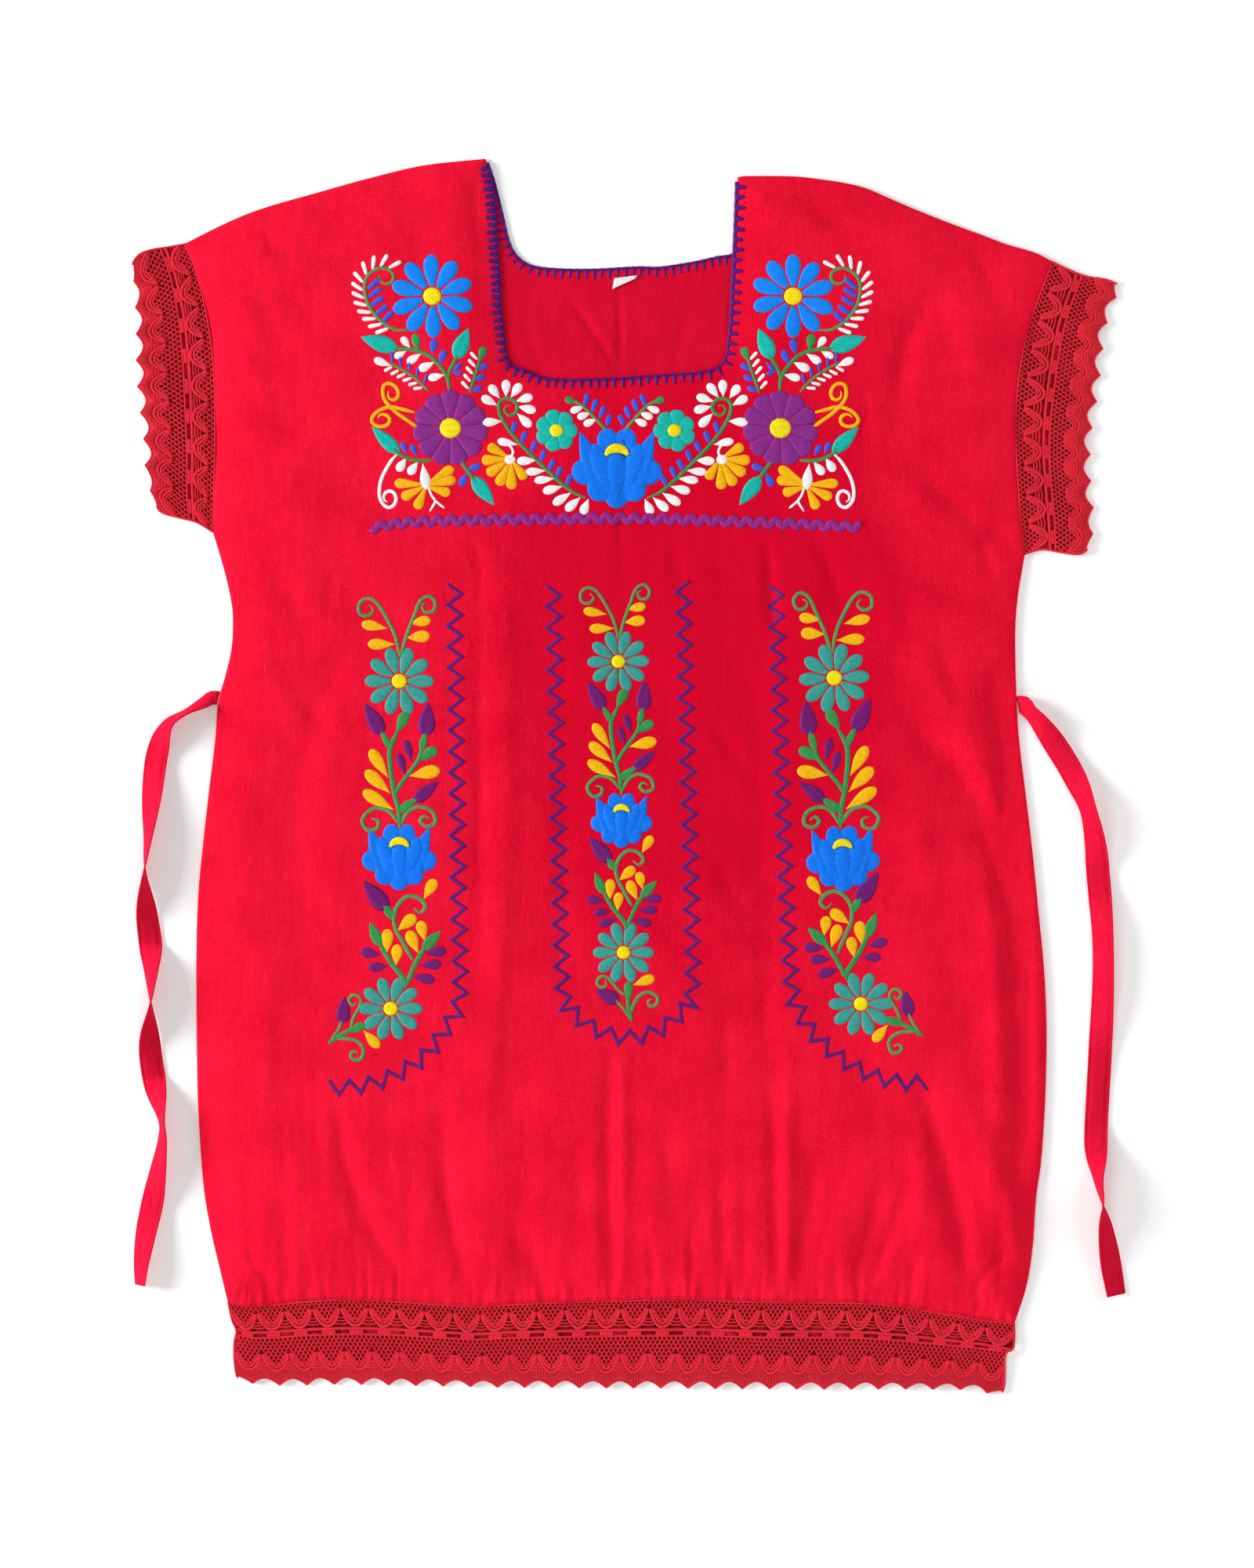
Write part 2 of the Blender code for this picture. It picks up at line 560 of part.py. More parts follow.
def build():
    for old in list(bpy.data.objects):
        bpy.data.objects.remove(old)
    collection = bpy.data.collections.new("mexican_dress")
    bpy.context.scene.collection.children.link(collection)
    cloth = material("red_cloth", CLOTH_RED)
    inside = material("red_cloth_inside", INSIDE_RED)
    lace = material("red_lace", LACE_RED)
    violet = material("violet_thread", CORD_VIOLET)
    white = material("white_label", LABEL_WHITE)
    sheet("back_panel", back_outline(), [], [], flat_on_surface, CLOTH_WALL, inside, collection)
    sheet("front_panel", front_outline(), [], panel_grid(), front_height, CLOTH_WALL, cloth, collection)
    front_neck_cord(violet, collection)
    back_neck_cord(violet, collection)
    lace_pair("left_cuff_lace", LEFT_CUFF, -1.0, lace, collection)
    lace_pair("right_cuff_lace", RIGHT_CUFF, 1.0, lace, collection)
    lace_pair("hem_lace", HEM_LACE, -1.0, lace, collection)
    tie("left_tie", LEFT_TIE, cloth, collection)
    tie("right_tie", RIGHT_TIE, cloth, collection)
    label(white, collection)


build()
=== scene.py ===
"""The looks of a red embroidered cotton dress, laid flat on its back and seen from straight above.

Lengths are in millimetres up to the last step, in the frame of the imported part: +X right, +Y to the neck,
+Z up. Motifs are placed by pixels of the 1600 x 2000 photograph, which from_photo turns into millimetres.
"""

import math
from collections import namedtuple

import bpy
import numpy as np
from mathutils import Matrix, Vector
from mathutils.geometry import delaunay_2d_cdt


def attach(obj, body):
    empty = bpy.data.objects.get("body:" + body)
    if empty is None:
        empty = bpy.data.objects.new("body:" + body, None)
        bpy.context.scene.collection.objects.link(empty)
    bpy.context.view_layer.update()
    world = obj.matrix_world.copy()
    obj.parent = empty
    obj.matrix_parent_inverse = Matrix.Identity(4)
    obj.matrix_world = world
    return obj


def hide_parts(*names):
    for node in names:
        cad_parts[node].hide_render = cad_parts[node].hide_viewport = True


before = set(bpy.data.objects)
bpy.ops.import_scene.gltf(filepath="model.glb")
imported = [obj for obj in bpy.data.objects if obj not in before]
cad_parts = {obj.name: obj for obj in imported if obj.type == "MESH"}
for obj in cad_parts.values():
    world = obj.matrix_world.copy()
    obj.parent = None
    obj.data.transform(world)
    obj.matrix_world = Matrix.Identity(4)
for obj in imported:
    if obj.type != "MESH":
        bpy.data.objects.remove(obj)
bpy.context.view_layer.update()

Fold = namedtuple("Fold", "line half_width rise")
Lace = namedtuple("Lace", "seam first_end outer last_end repeats")
Place = namedtuple("Place", "x y size turn flip shear from_x from_y", defaults=(1, 0, 1, 0, 0, 0))
Pad = namedtuple("Pad", "look shape x y end_x end_y width")
Barbs = namedtuple("Barbs", "look stem first last count side gap length width lean")
Daisy = namedtuple("Daisy", "x y radius petals first_angle width look disc_radius")
Column = namedtuple("Column", "name top lotus bush flower tail plain_left")
ScallopStrand = namedtuple("ScallopStrand", "inward turn half rise")


def pairs(*numbers):
    """Points, from the x and y of each in turn."""
    return tuple(zip(numbers[::2], numbers[1::2]))


def folds(*rows):
    """Folds, from rows of half width, rise and the points of a line."""
    return [Fold(pairs(*line), half_width, rise) for half_width, rise, *line in rows]


def pads(*groups):
    """Pads, from groups of a look, a shape, and rows of both ends and a width."""
    return [Pad(look, shape, *row) for look, shape, *rows in groups for row in rows]


MILLIMETRE = 0.001
PIXEL = 0.53
MIDDLE_PIXEL = (803.0, 992.0)

# The part's walls and beds
CLOTH_WALL = 1.2
LACE_WALL = 1.0
TIE_WALL = 1.2
TIE_WIDTH = 15.8
SEAM_GAP = 0.3
FRONT_BED = CLOTH_WALL + SEAM_GAP
LACE_BED = LACE_WALL + SEAM_GAP

# How loosely the front lies on the back, and its faint unevenness: slack waves, and ripples low down
FULLNESS = 3.6
FULLNESS_REACH = 34.0
BLOUSING = 3.2
BLOUSING_PLACE = 62.0
BLOUSING_REACH = 48.0
FOLD_END_SHARE = 0.04
FOLD_END_SOFTNESS = 0.6
FOLD_STEP = 10.0
SLACK_WAVES = 14
SLACK_RISE = 0.13
RIPPLES = 7
RIPPLE_RISE = 0.07
RIPPLE_TOP = -150.0

# The gathers above the hem lace
GATHERS = 80
GATHER_UNEVENNESS = 0.24
GATHER_RISE = 1.2
GATHER_REACH = 13.0
GATHERED_BELOW = -288.0
DEEPEST_GATHER = -1.1
LONG_GATHER_COUNT = 58

# The lace
POINT_DEPTH = 4.8
SLOT_SHARE = {"hem": 0.375, "left_cuff": 0.36, "right_cuff": 0.42}
SLOT_LENGTH_SHARE = 0.56
SLOT_WIDTH = 2.4
LACE_WAVE = 0.7
LACE_WAVE_LENGTH = 74.0

# Mesh steps: along a panel's edge, over it and, on the front, over the gathers up to a height
FRONT_EDGE_STEP = 2.4
FRONT_STEP = 3.45
GATHER_STEP = 1.9
GATHER_COLUMNS = 300
GATHER_STEP_TOP = 44.0
BACK_EDGE_STEP = 3.4
BACK_STEP = 9.0
BACK_SHOWN_STEP = 2.2
EDGE_MARGIN = 4.0

# Grid of the relief, its low corner and its reach
GRID = 2.0
GRID_LOW = (-310.0, -380.0)
GRID_REACH = (610, 810)

# Where a shadow is painted on the front's red, darkest round its middle: middle and reach
PAINTED_SHADE_MIDDLE = (48.0, 100.0)
PAINTED_SHADE_REACH = (120.0, 190.0)

# Spacing of the threads in the materials, how strongly the cloth crinkles, and the floor's painted glow, a
# faint light of its own that keeps the shadows on it pale
WEAVE_PITCH = 0.62
PLY_PITCH = 0.5
THREAD_PITCH = 0.45
CRINKLE = 9.0
FLOOR_PAINTED_GLOW = 0.16

HEM_SEAM = pairs(
    -271.4, -354, -257, -357.2, -242, -356.2, -219, -353.6, -193, -352.5, -158, -353.5, -122, -356.2,
    -104, -357.6, -79, -355.6, -23, -353.5, 36, -352.5, 95, -354, 154, -354.6, 183, -357.2, 202.5, -360.4,
    232, -365.2, 260.2, -368.9,
)
RIGHT_SIDE = pairs(
    260.2, -368.9, 268.2, -344, 272.4, -318.5, 275, -283, 278.3, -259, 281, -218, 282, -172, 280.4, -131,
    277, -95, 272.5, -50, 267.5, -8, 263.5, 25, 261.6, 56, 260.8, 96, 262.5, 122, 267.3, 151,
)
RIGHT_ARMHOLE = pairs(
    267.3, 151, 264.5, 171.7, 262, 203, 260.8, 228, 261.4, 257, 264.5, 282, 269, 302, 275, 321,
    281.4, 337.6, 285.5, 349,
)
RIGHT_SHOULDER = pairs(
    285.5, 349, 274, 354.8, 254.9, 360.4, 238, 366.8, 217.8, 374.2, 197.7, 382.1, 177.6, 390.6, 160.6, 398,
    145.2, 401.9, 128.3, 404.4, 109.7, 406.3, 79.5, 406.5, 73.2, 405.6,
)
FRONT_NECK = pairs(
    73.2, 405.6, 72.6, 387, 71.6, 362, 70.5, 337.6, 69.4, 315, 67.8, 296, 65.5, 283.5, 60, 276.4,
    47.2, 273.2, 30.7, 271.9, 12, 270.6, -7, 269.2, -24, 268.6, -43, 268.2, -59.5, 270, -71.6, 275,
    -79.6, 277.6, -83.2, 282.5, -85.3, 295.2, -87.6, 314, -88.6, 333, -89.6, 350, -90.9, 368, -92.2, 388,
    -94.3, 404.9, -97.5, 418.2,
)
BACK_NECK = pairs(
    76.5, 405.9, 76, 380, 74.6, 362, 70, 353.4, 59.9, 351.4, 48.2, 348.7, 37.1, 346.6, 19.6, 344.2,
    4.8, 344.4, -21.7, 342.9, -42.9, 342.9, -60.4, 344.2, -70.5, 347.4, -77.9, 354.2, -82.2, 363.6,
    -85.9, 379, -89.4, 393.8, -92.6, 405.4, -97, 418.2,
)
LEFT_SHOULDER = pairs(
    -97.5, 418.2, -139.4, 413.6, -176, 405, -212, 395, -248.6, 384.4, -273, 374.5, -300.5, 360.8,
)
LEFT_ARMHOLE = pairs(
    -300.5, 360.8, -293.6, 345.6, -286.7, 320.1, -282.5, 295.7, -279.9, 267, -279.6, 224.7, -280.6, 186,
    -281.4, 165.8,
)
LEFT_SIDE = pairs(
    -281.4, 165.8, -276, 148, -270.8, 128, -268, 110, -268.8, 88, -273, 69, -277.8, 51, -280, 25, -284, -8,
    -288, -44, -291.2, -77, -292.6, -120, -292.2, -190, -291.2, -226, -288, -273, -283.4, -303,
    -276.5, -333, -271.4, -354,
)

BANDS = {
    "hem": Lace(
        seam=HEM_SEAM,
        first_end=pairs(-268.7, -366.2, -265.6, -373.6, -267, -381, -267.2, -392, -266, -402.5),
        outer=pairs(
            -263.6, -408.6, -234, -410.6, -180, -410.2, -90, -412, 30, -412.8, 130, -413.4, 215, -413.4,
            234, -414.4, 250.5, -418.2,
        ),
        last_end=pairs(260.4, -378, 259.4, -386, 254.2, -390, 253.6, -411),
        repeats=28,
    ),
    "left_cuff": Lace(
        seam=LEFT_ARMHOLE,
        first_end=pairs(-313, 358.6, -322, 357.2, -330.2, 354.4, -335.2, 348.8),
        outer=pairs(
            -335.4, 344, -334.4, 325, -333.6, 300, -333.2, 271.4, -330.6, 245, -327.8, 222, -326.8, 203,
            -320.4, 186,
        ),
        last_end=pairs(-292.4, 172.4, -304, 175.4, -316.4, 179.2),
        repeats=9,
    ),
    "right_cuff": Lace(
        seam=tuple(reversed(RIGHT_ARMHOLE)),
        first_end=pairs(297.3, 343.4, 309, 338.9, 322, 336.8),
        outer=pairs(
            332.6, 332.6, 326.6, 318, 321.4, 300, 319.2, 277, 316.4, 255.5, 312.6, 234, 311.6, 213,
            312.8, 192, 314.6, 173.3, 311.6, 156,
        ),
        last_end=pairs(279.5, 154.2, 292, 152, 304.6, 150.8),
        repeats=10,
    ),
}

# Large folds, in millimetres: the solid's own, most of them softer and some moved a little
FOLDS = folds(
    (8, -6, 247, 66, 254, 20, 259, -58, 264, -140, 268, -225, 264, -270),
    (11, -1.7, 172, 50, 212, -6, 246, -60, 258, -86),
    (12, 1.6, 184, 104, 218, 48, 262, -26),
    (7.2, -3.6, 195, -202, 209, -246, 222, -300, 230, -342),
    (10, 2.6, 222, -206, 238, -250, 254, -292, 266, -322, 270, -345),
    (7, -1.8, 176, -262, 162, -308, 152, -344),
    (7, -2.2, 128, -260, 120, -302, 112, -344),
    (4.6, 1.8, 108, -182, 107, -262, 107, -344),
    (4.4, -2, 96, -212, 99, -276, 100, -344),
    (4, 1.6, -4, -186, -4, -262, -4, -344),
    (5, -2, -14, -186, -14, -262, -12, -344),
    (8, -1.8, -129, -214, -121, -300, -111, -348),
    (7, -1.6, -197, -218, -186, -282, -152, -342),
    (15, 0.9, -92, 160, -88, 20, -96, -160, -98, -330),
    (7, -1.5, -82, -300, -60, -346),
    (8, -1.2, -244, 148, -214, 96),
    (9, -1.2, -190, 92, -216, 28),
    (9, -1.7, 238, 346, 256, 306),
    (11, -1.5, 198, 226, 238, 212),
    (8, -1.6, 246, 178, 262, 146),
    (8, -1.1, -256, 330, -228, 286),
)

# Smaller creases: lines in the photograph's pixels, half width and rise in millimetres
CREASES = folds(
    # Across the chest
    (3.2, -0.9, 794, 505, 796, 600, 794, 690, 800, 780),
    (4, -2.2, 978, 686, 982, 740, 988, 812),
    (3.2, -1.1, 896, 714, 924, 733, 952, 744),
    (5, -1.5, 1040, 676, 1058, 725, 1078, 782),
    (3.6, -1.3, 606, 680, 612, 725, 616, 775),
    (3.2, -1.2, 424, 728, 418, 778),
    (4, -0.7, 300, 774, 360, 782, 430, 800),
    (7, -1.1, 345, 806, 375, 873, 447, 972),
    # Sleeves and shoulders
    (5, -1, 326, 284, 352, 318, 378, 342),
    (4.4, -0.9, 445, 250, 480, 282, 505, 306),
    (5, -0.8, 350, 540, 430, 560),
    (6, 0.7, 300, 430, 345, 520),
    (4.4, -1.3, 604, 214, 608, 260, 612, 306),
    (6, -1.3, 1026, 252, 1062, 282, 1102, 298),
    (7, -2.8, 1190, 388, 1156, 440, 1146, 526),
    (5, -1.3, 1104, 498, 1103, 575),
    (9, -2.8, 1150, 580, 1215, 640, 1286, 698),
    (9, 1.5, 1222, 400, 1258, 500),
    (5, -2.1, 1250, 686, 1268, 742),
    (6, -1, 1180, 300, 1215, 345, 1240, 372),
    # Down the right side
    (5, -1.4, 1196, 824, 1227, 906),
    (8, -3.5, 1148, 900, 1190, 948, 1228, 990, 1258, 1048, 1290, 1110),
    (8, 0.9, 1135, 925, 1178, 985, 1212, 1045, 1242, 1105, 1265, 1160),
    (6.6, 1.9, 1252, 1070, 1264, 1180, 1271, 1300, 1273, 1400, 1262, 1500),
    (15, 0.8, 1225, 1080, 1236, 1220, 1238, 1380),
    (5, -2.2, 1250, 996, 1275, 1131, 1290, 1222),
    (5.4, -2.8, 1290, 873, 1298, 960, 1300, 1122),
    (8, -0.9, 1140, 700, 1165, 860),
    (8, -1, 1200, 1180, 1235, 1300, 1262, 1420),
    (4, 0.8, 1322, 950, 1330, 1150, 1328, 1500),
    (9, 1, 1165, 1000, 1190, 1180),
    (2.4, -1, 1297, 1450, 1294, 1520, 1298, 1590),
    (2.6, -1.3, 1318, 1525, 1306, 1565, 1299, 1590),
    (2.8, -1, 1296, 1592, 1262, 1618, 1234, 1662),
    (9, 1.5, 1172, 1440, 1186, 1550, 1190, 1620),
    (5, 3, 1322, 1180, 1325, 1400, 1324, 1480, 1311, 1600, 1304, 1650),
    (8, 3.2, 1285, 1500, 1303, 1580, 1295, 1655),
    # The middle
    (7, 1.1, 645, 700, 647, 1000, 638, 1250, 622, 1420, 616, 1640),
    (4.6, -1.4, 611, 760, 613, 1000, 611, 1260),
    (5, -1.3, 903, 918, 935, 960, 966, 1000),
    (6, -1.2, 909, 1090, 935, 1140, 966, 1184),
    (9, -0.9, 960, 780, 975, 1100, 985, 1350),
    (6, -1.1, 925, 1280, 932, 1440),
    (5, -1.1, 975, 1215, 980, 1330),
    (5, -0.9, 860, 690, 872, 760),
    (9, -0.8, 715, 900, 722, 1100, 716, 1300),
    (11, -0.9, 400, 860, 380, 1050, 385, 1300),
    (9, 0.8, 330, 1200, 350, 1420),
    (3.4, 0.6, 400, 1390, 465, 1396, 530, 1394),
    # Above the hem
    (4.6, -1.2, 430, 1395, 441, 1475, 478, 1562, 515, 1642),
    (4.2, -1.5, 562, 1470, 578, 1560, 600, 1650),
    (4.4, -1.3, 676, 1556, 691, 1650),
    (3, -1.3, 830, 1572, 834, 1652),
    (3, -1.3, 880, 1560, 885, 1652),
    (3.2, -1.2, 262, 1500, 290, 1570, 320, 1650),
    (3.2, -0.9, 304, 1568, 352, 1656),
    (4, -0.8, 250, 1200, 254, 1350, 256, 1490),
    (6, 0.7, 480, 1500, 498, 1640),
    (6, 0.7, 640, 1480, 650, 1640),
    (7, -0.8, 735, 1420, 742, 1650),
    (6, -0.8, 850, 1420, 858, 1560),
    (4, -1.2, 918, 1480, 922, 1652),
    (3.6, -1.1, 950, 1500, 948, 1652),
    (5, -1.6, 1162, 1496, 1128, 1590, 1104, 1648),
    (6, -1.2, 1070, 1500, 1046, 1580, 1034, 1650),
    (4, -1.1, 1180, 1560, 1160, 1655),
)

# Creases of the back's inside, seen in the neck
BACK_CREASES = folds(
    (2.2, -0.8, 791, 370, 791, 420, 792, 480),
    (3.2, 0.25, 797, 372, 798, 430, 798, 480),
    (2.6, -0.9, 724, 380, 757, 425, 789, 476),
    (3.4, 0.2, 736, 376, 770, 424, 796, 462),
    (3.6, -0.5, 664, 400, 690, 470),
    (4, -0.5, 880, 395, 860, 470),
)

# The ties' middle lines: x, y, width, and turn about the line in degrees
LEFT_TIE = (
    (-277.9, 53.6, 9.6, 2), (-281.9, 54, 9.8, 16), (-288, 50.4, 11, 46), (-299.5, 44.2, 13, 72),
    (-312, 35.2, 15.4, 56), (-319, 16, 15.6, 14), (-322.2, -9, 15.8, 26), (-324.6, -38, 15.8, 62),
    (-327, -64, 15.8, 90), (-325.8, -92, 15.8, 150), (-323.8, -111, 15.8, 176), (-322.8, -127, 15.8, 222),
    (-323, -154, 15.8, 270), (-323.8, -181, 15.8, 334), (-321.4, -202.5, 15.8, 360),
    (-315.9, -229.5, 15.8, 428), (-315.1, -245, 15.8, 424), (-318.8, -269.2, 15.8, 398),
    (-322.4, -288, 15.8, 376), (-326.5, -307.4, 15.8, 386), (-329.4, -327.5, 15, 404),
    (-330.4, -342.6, 12, 412),
)
RIGHT_TIE = (
    (262.6, 49.2, 12, 2), (266.4, 49.4, 12.2, 20), (270.2, 44.6, 13, 44), (276.1, 38.2, 15, 44),
    (288.9, 20.7, 15.8, 12), (300, 2, 15.8, 14), (309, -19.6, 15.8, 50), (314.3, -42.4, 15.8, 34),
    (317, -67, 15.8, 6), (319.6, -105, 15.8, 30), (319.9, -142, 15.8, 28), (318, -190, 15.8, 4),
    (315.4, -240, 15.8, 4), (316, -268, 15.8, 66), (319.1, -286, 15.8, 90), (321.2, -302, 15.8, 128),
    (325, -327, 15.8, 156), (329, -349.6, 14, 160),
)

NECK_LABEL = pairs(-11.4, 330.2, 4.4, 337.4, 5.2, 339.4, -10.2, 337.4)

# Thread colours, sRGB
THREADS = {
    "blue": (0.0, 0.46, 0.96),
    "azure": (0.0, 0.52, 0.98),
    "sky": (0.22, 0.34, 0.85),
    "teal": (0.06, 0.71, 0.66),
    "sea": (0.21, 0.61, 0.57),
    "green": (0.20, 0.57, 0.30),
    "moss": (0.34, 0.57, 0.33),
    "yellow": (1.00, 0.87, 0.0),
    "gold": (1.00, 0.72, 0.0),
    "orange": (1.00, 0.71, 0.0),
    "purple": (0.53, 0.15, 0.53),
    "mauve": (0.57, 0.13, 0.51),
    "plum": (0.43, 0.07, 0.43),
    "mulberry": (0.40, 0.05, 0.42),
    "white": (0.99, 0.97, 0.98),
    "violet": (0.34, 0.03, 0.45),
}


def from_photo(points):
    """Millimetres in the part's frame from pixels of the photograph."""
    return (np.asarray(points, float) - MIDDLE_PIXEL) * (PIXEL, -PIXEL)


def smooth_line(rows, step):
    """Points about a step apart on a Catmull-Rom curve through the rows, of any number of columns."""
    rows = [np.array(row, float) for row in rows]
    rows = [2 * rows[0] - rows[1]] + rows + [2 * rows[-1] - rows[-2]]
    points = []
    for before, start, end, after in zip(rows, rows[1:], rows[2:], rows[3:]):
        pieces = max(1, round(float(np.linalg.norm((end - start)[:2])) / step))
        for t in np.arange(pieces) / pieces:
            bend = (2 * before - 5 * start + 4 * end - after) * t**2
            twist = (3 * start - before - 3 * end + after) * t**3
            points.append(start + 0.5 * ((end - before) * t + bend + twist))
    points.append(rows[-2])
    return np.array(points)


def way_along(line):
    """How far along a line each of its points is."""
    return np.concatenate([[0.0], np.cumsum(np.linalg.norm(np.diff(line, axis=0), axis=1))])


def along(line, shares):
    """The points at these shares of a line's length."""
    lengths = way_along(line)
    places = np.asarray(shares) * lengths[-1]
    return np.column_stack([np.interp(places, lengths, line[:, axis]) for axis in (0, 1)])


def length_of(line):
    return float(np.linalg.norm(np.diff(line, axis=0), axis=1).sum())


def distance_to(points, line, chunk=20000):
    """How far each point is from an open line, and the share of the line's length nearest to it."""
    starts, runs = line[:-1], np.diff(line, axis=0)
    sizes = np.linalg.norm(runs, axis=1)
    before = way_along(line)
    gaps = np.empty(len(points))
    shares = np.empty(len(points))
    for first in range(0, len(points), chunk):
        some = points[first:first + chunk]
        offsets = some[:, None, :] - starts[None]
        part = np.clip((offsets * runs).sum(axis=2) / sizes**2, 0.0, 1.0)
        offsets -= part[..., None] * runs
        found = np.einsum("ijk,ijk->ij", offsets, offsets)
        nearest = found.argmin(axis=1)
        each = np.arange(len(some))
        gaps[first:first + chunk] = np.sqrt(found[each, nearest])
        shares[first:first + chunk] = (before[nearest] + part[each, nearest] * sizes[nearest]) / before[-1]
    return gaps, shares


def units(rows):
    return rows / np.linalg.norm(rows, axis=1)[:, None]


def ways_of(line):
    """The way that a line runs at each of its points."""
    return units(np.gradient(line, axis=0))


def left_of(ways):
    return np.column_stack([-ways[:, 1], ways[:, 0]])


def moved_in(line, gap):
    """A line moved to its left by a gap, as seen along it."""
    return line + gap * left_of(ways_of(line))


def closed(outline):
    return np.vstack([outline, outline[:1]])


def level(points):
    """The floor's height under each point."""
    return np.zeros(len(points))


def swell(shares):
    """A quarter wave from 0 to 1, for shares held between 0 and 1."""
    return np.sin(0.5 * math.pi * np.clip(shares, 0.0, 1.0))


def above_hem(points):
    return points[:, 1] - np.interp(points[:, 0], HEM_LINE[:, 0], HEM_LINE[:, 1])


def inside(points, outline, chunk=20000):
    """Which points lie inside an outline."""
    x0, y0 = outline[:, 0], outline[:, 1]
    x1, y1 = np.roll(x0, -1), np.roll(y0, -1)
    slopes = (x1 - x0) / np.where(y1 == y0, 1e-9, y1 - y0)
    found = np.empty(len(points), bool)
    for first in range(0, len(points), chunk):
        x, y = points[first:first + chunk].T[:, :, None]
        crossed = ((y0 > y) != (y1 > y)) & (x < x0 + (y - y0) * slopes)
        found[first:first + chunk] = crossed.sum(axis=1) % 2 == 1
    return found


def panel_outline(neck, step):
    """One panel's outline, anticlockwise."""
    rows = (HEM_SEAM, RIGHT_SIDE, RIGHT_ARMHOLE, RIGHT_SHOULDER, neck, LEFT_SHOULDER, LEFT_ARMHOLE, LEFT_SIDE)
    return np.concatenate([smooth_line(each, step)[:-1] for each in rows])


COARSE_STEP = 16.0
HEM_LINE = smooth_line(HEM_SEAM, 4.0)
COARSE_OUTLINE = panel_outline(FRONT_NECK, COARSE_STEP)


def gather_columns():
    """Shares of the hem seam's length: a ridge, a trough, a ridge and so on, unevenly spaced."""
    ridges = (np.arange(GATHERS) + 0.5 + GATHER_UNEVENNESS * np.sin(2.4 * np.arange(GATHERS))) / GATHERS
    troughs = np.concatenate([[0.0], (ridges[1:] + ridges[:-1]) / 2, [1.0]])
    return np.sort(np.concatenate([ridges, troughs]))


COLUMNS = gather_columns()


def long_gathers():
    """Longer creases that run up from the hem seam: share of the seam, length, lean, half width and rise."""
    draw = np.random.default_rng(11)
    count = LONG_GATHER_COUNT
    shares = (np.arange(count) + draw.uniform(0.1, 0.9, count)) / count
    lengths = 8.0 + 44.0 * draw.uniform(0.0, 1.0, count) ** 2
    leans = draw.uniform(-0.16, 0.16, count)
    rises = draw.uniform(0.4, 1.0, count) * np.where(draw.uniform(0.0, 1.0, count) < 0.62, -1.0, 1.0)
    return list(zip(shares, lengths, leans, draw.uniform(1.7, 3.2, count), rises))


LONG_GATHERS = long_gathers()


def gathers_at(points):
    """Rise of the gathers: a wave along the seam, which dies away above it, and longer creases."""
    rise = np.zeros(len(points))
    near = points[:, 1] < GATHERED_BELOW
    if not near.any():
        return rise
    some = points[near]
    gap, share = distance_to(some, HEM_LINE)
    phase = np.interp(share, COLUMNS, np.arange(len(COLUMNS)))
    strength = 0.72 + 0.28 * np.sin(31.0 * share + 1.2)
    reach = GATHER_REACH * (1.6 + 0.6 * np.sin(67.0 * share) + 0.4 * np.sin(151.0 * share))
    fade = np.clip(1.0 - gap / reach, 0.0, 1.0)
    total = GATHER_RISE * 0.5 * (1.0 - np.cos(math.pi * phase)) * strength * fade**1.5
    for place, length, lean, half, height in LONG_GATHERS:
        foot = along(HEM_LINE, [place])[0]
        up = some[:, 1] - foot[1]
        across = some[:, 0] - foot[0] - lean * up
        fade = swell(1.0 - up / length) * np.clip((up + 3.0) / 6.0, 0.0, 1.0)
        total += height * fade * np.exp(-((across / half) ** 2))
    rise[near] = np.maximum(total, DEEPEST_GATHER)
    return rise


def folds_at(points, folds, lines, softness):
    """Rise of some folds, each a soft ridge or trough that tapers at both ends."""
    rise = np.zeros(len(points))
    for fold, line in zip(folds, lines):
        reach = 3.0 * fold.half_width
        low, high = line.min(axis=0) - reach, line.max(axis=0) + reach
        near = ((points > low) & (points < high)).all(axis=1)
        if near.any():
            gap, share = distance_to(points[near], line)
            taper = np.sin(math.pi * (FOLD_END_SHARE + (1.0 - 2.0 * FOLD_END_SHARE) * share)) ** softness
            rise[near] += fold.rise * taper * np.exp(-((gap / fold.half_width) ** 2))
    return rise


def ripples_at(points):
    """Faint unevenness of soft cloth: long slack waves all over, and upright ripples above the hem."""
    draw = np.random.default_rng(7)
    rise = np.zeros(len(points))
    for _ in range(SLACK_WAVES):
        angle, length, phase = draw.uniform(0, math.pi), draw.uniform(34, 90), draw.uniform(0, 6.3)
        way = points @ (math.cos(angle), math.sin(angle))
        rise += SLACK_RISE * np.sin(2 * math.pi * way / length + phase)
    lean = points[:, 0] + 0.06 * points[:, 1] * np.sin(points[:, 0] / 60.0)
    low = np.clip((points[:, 1] - RIPPLE_TOP) / RIPPLE_TOP, 0.0, 1.0)
    for _ in range(RIPPLES):
        length, phase = draw.uniform(13, 40), draw.uniform(0, 6.3)
        rise += RIPPLE_RISE * low * np.sin(2 * math.pi * lean / length + phase)
    return rise


def front_relief(points):
    """Height of the front over its bed, but for its gathers."""
    edge_gap = distance_to(points, closed(COARSE_OUTLINE))[0]
    hem_gap = np.abs(above_hem(points))
    slack = FULLNESS * swell(edge_gap / FULLNESS_REACH)
    bloused = BLOUSING * np.exp(-(((hem_gap - BLOUSING_PLACE) / BLOUSING_REACH) ** 2))
    bloused *= np.clip(edge_gap / FULLNESS_REACH, 0.0, 1.0)
    held = np.clip(edge_gap / (0.5 * FULLNESS_REACH), 0.0, 1.0)
    large = folds_at(points, FOLDS, [smooth_line(fold.line, FOLD_STEP) for fold in FOLDS], FOLD_END_SOFTNESS)
    lines = [from_photo(smooth_line(fold.line, 2.0 * FOLD_STEP)) for fold in CREASES]
    small = folds_at(points, CREASES, lines, 1.0) + ripples_at(points)
    return np.maximum(slack + bloused + held * (large + small), 0.0)


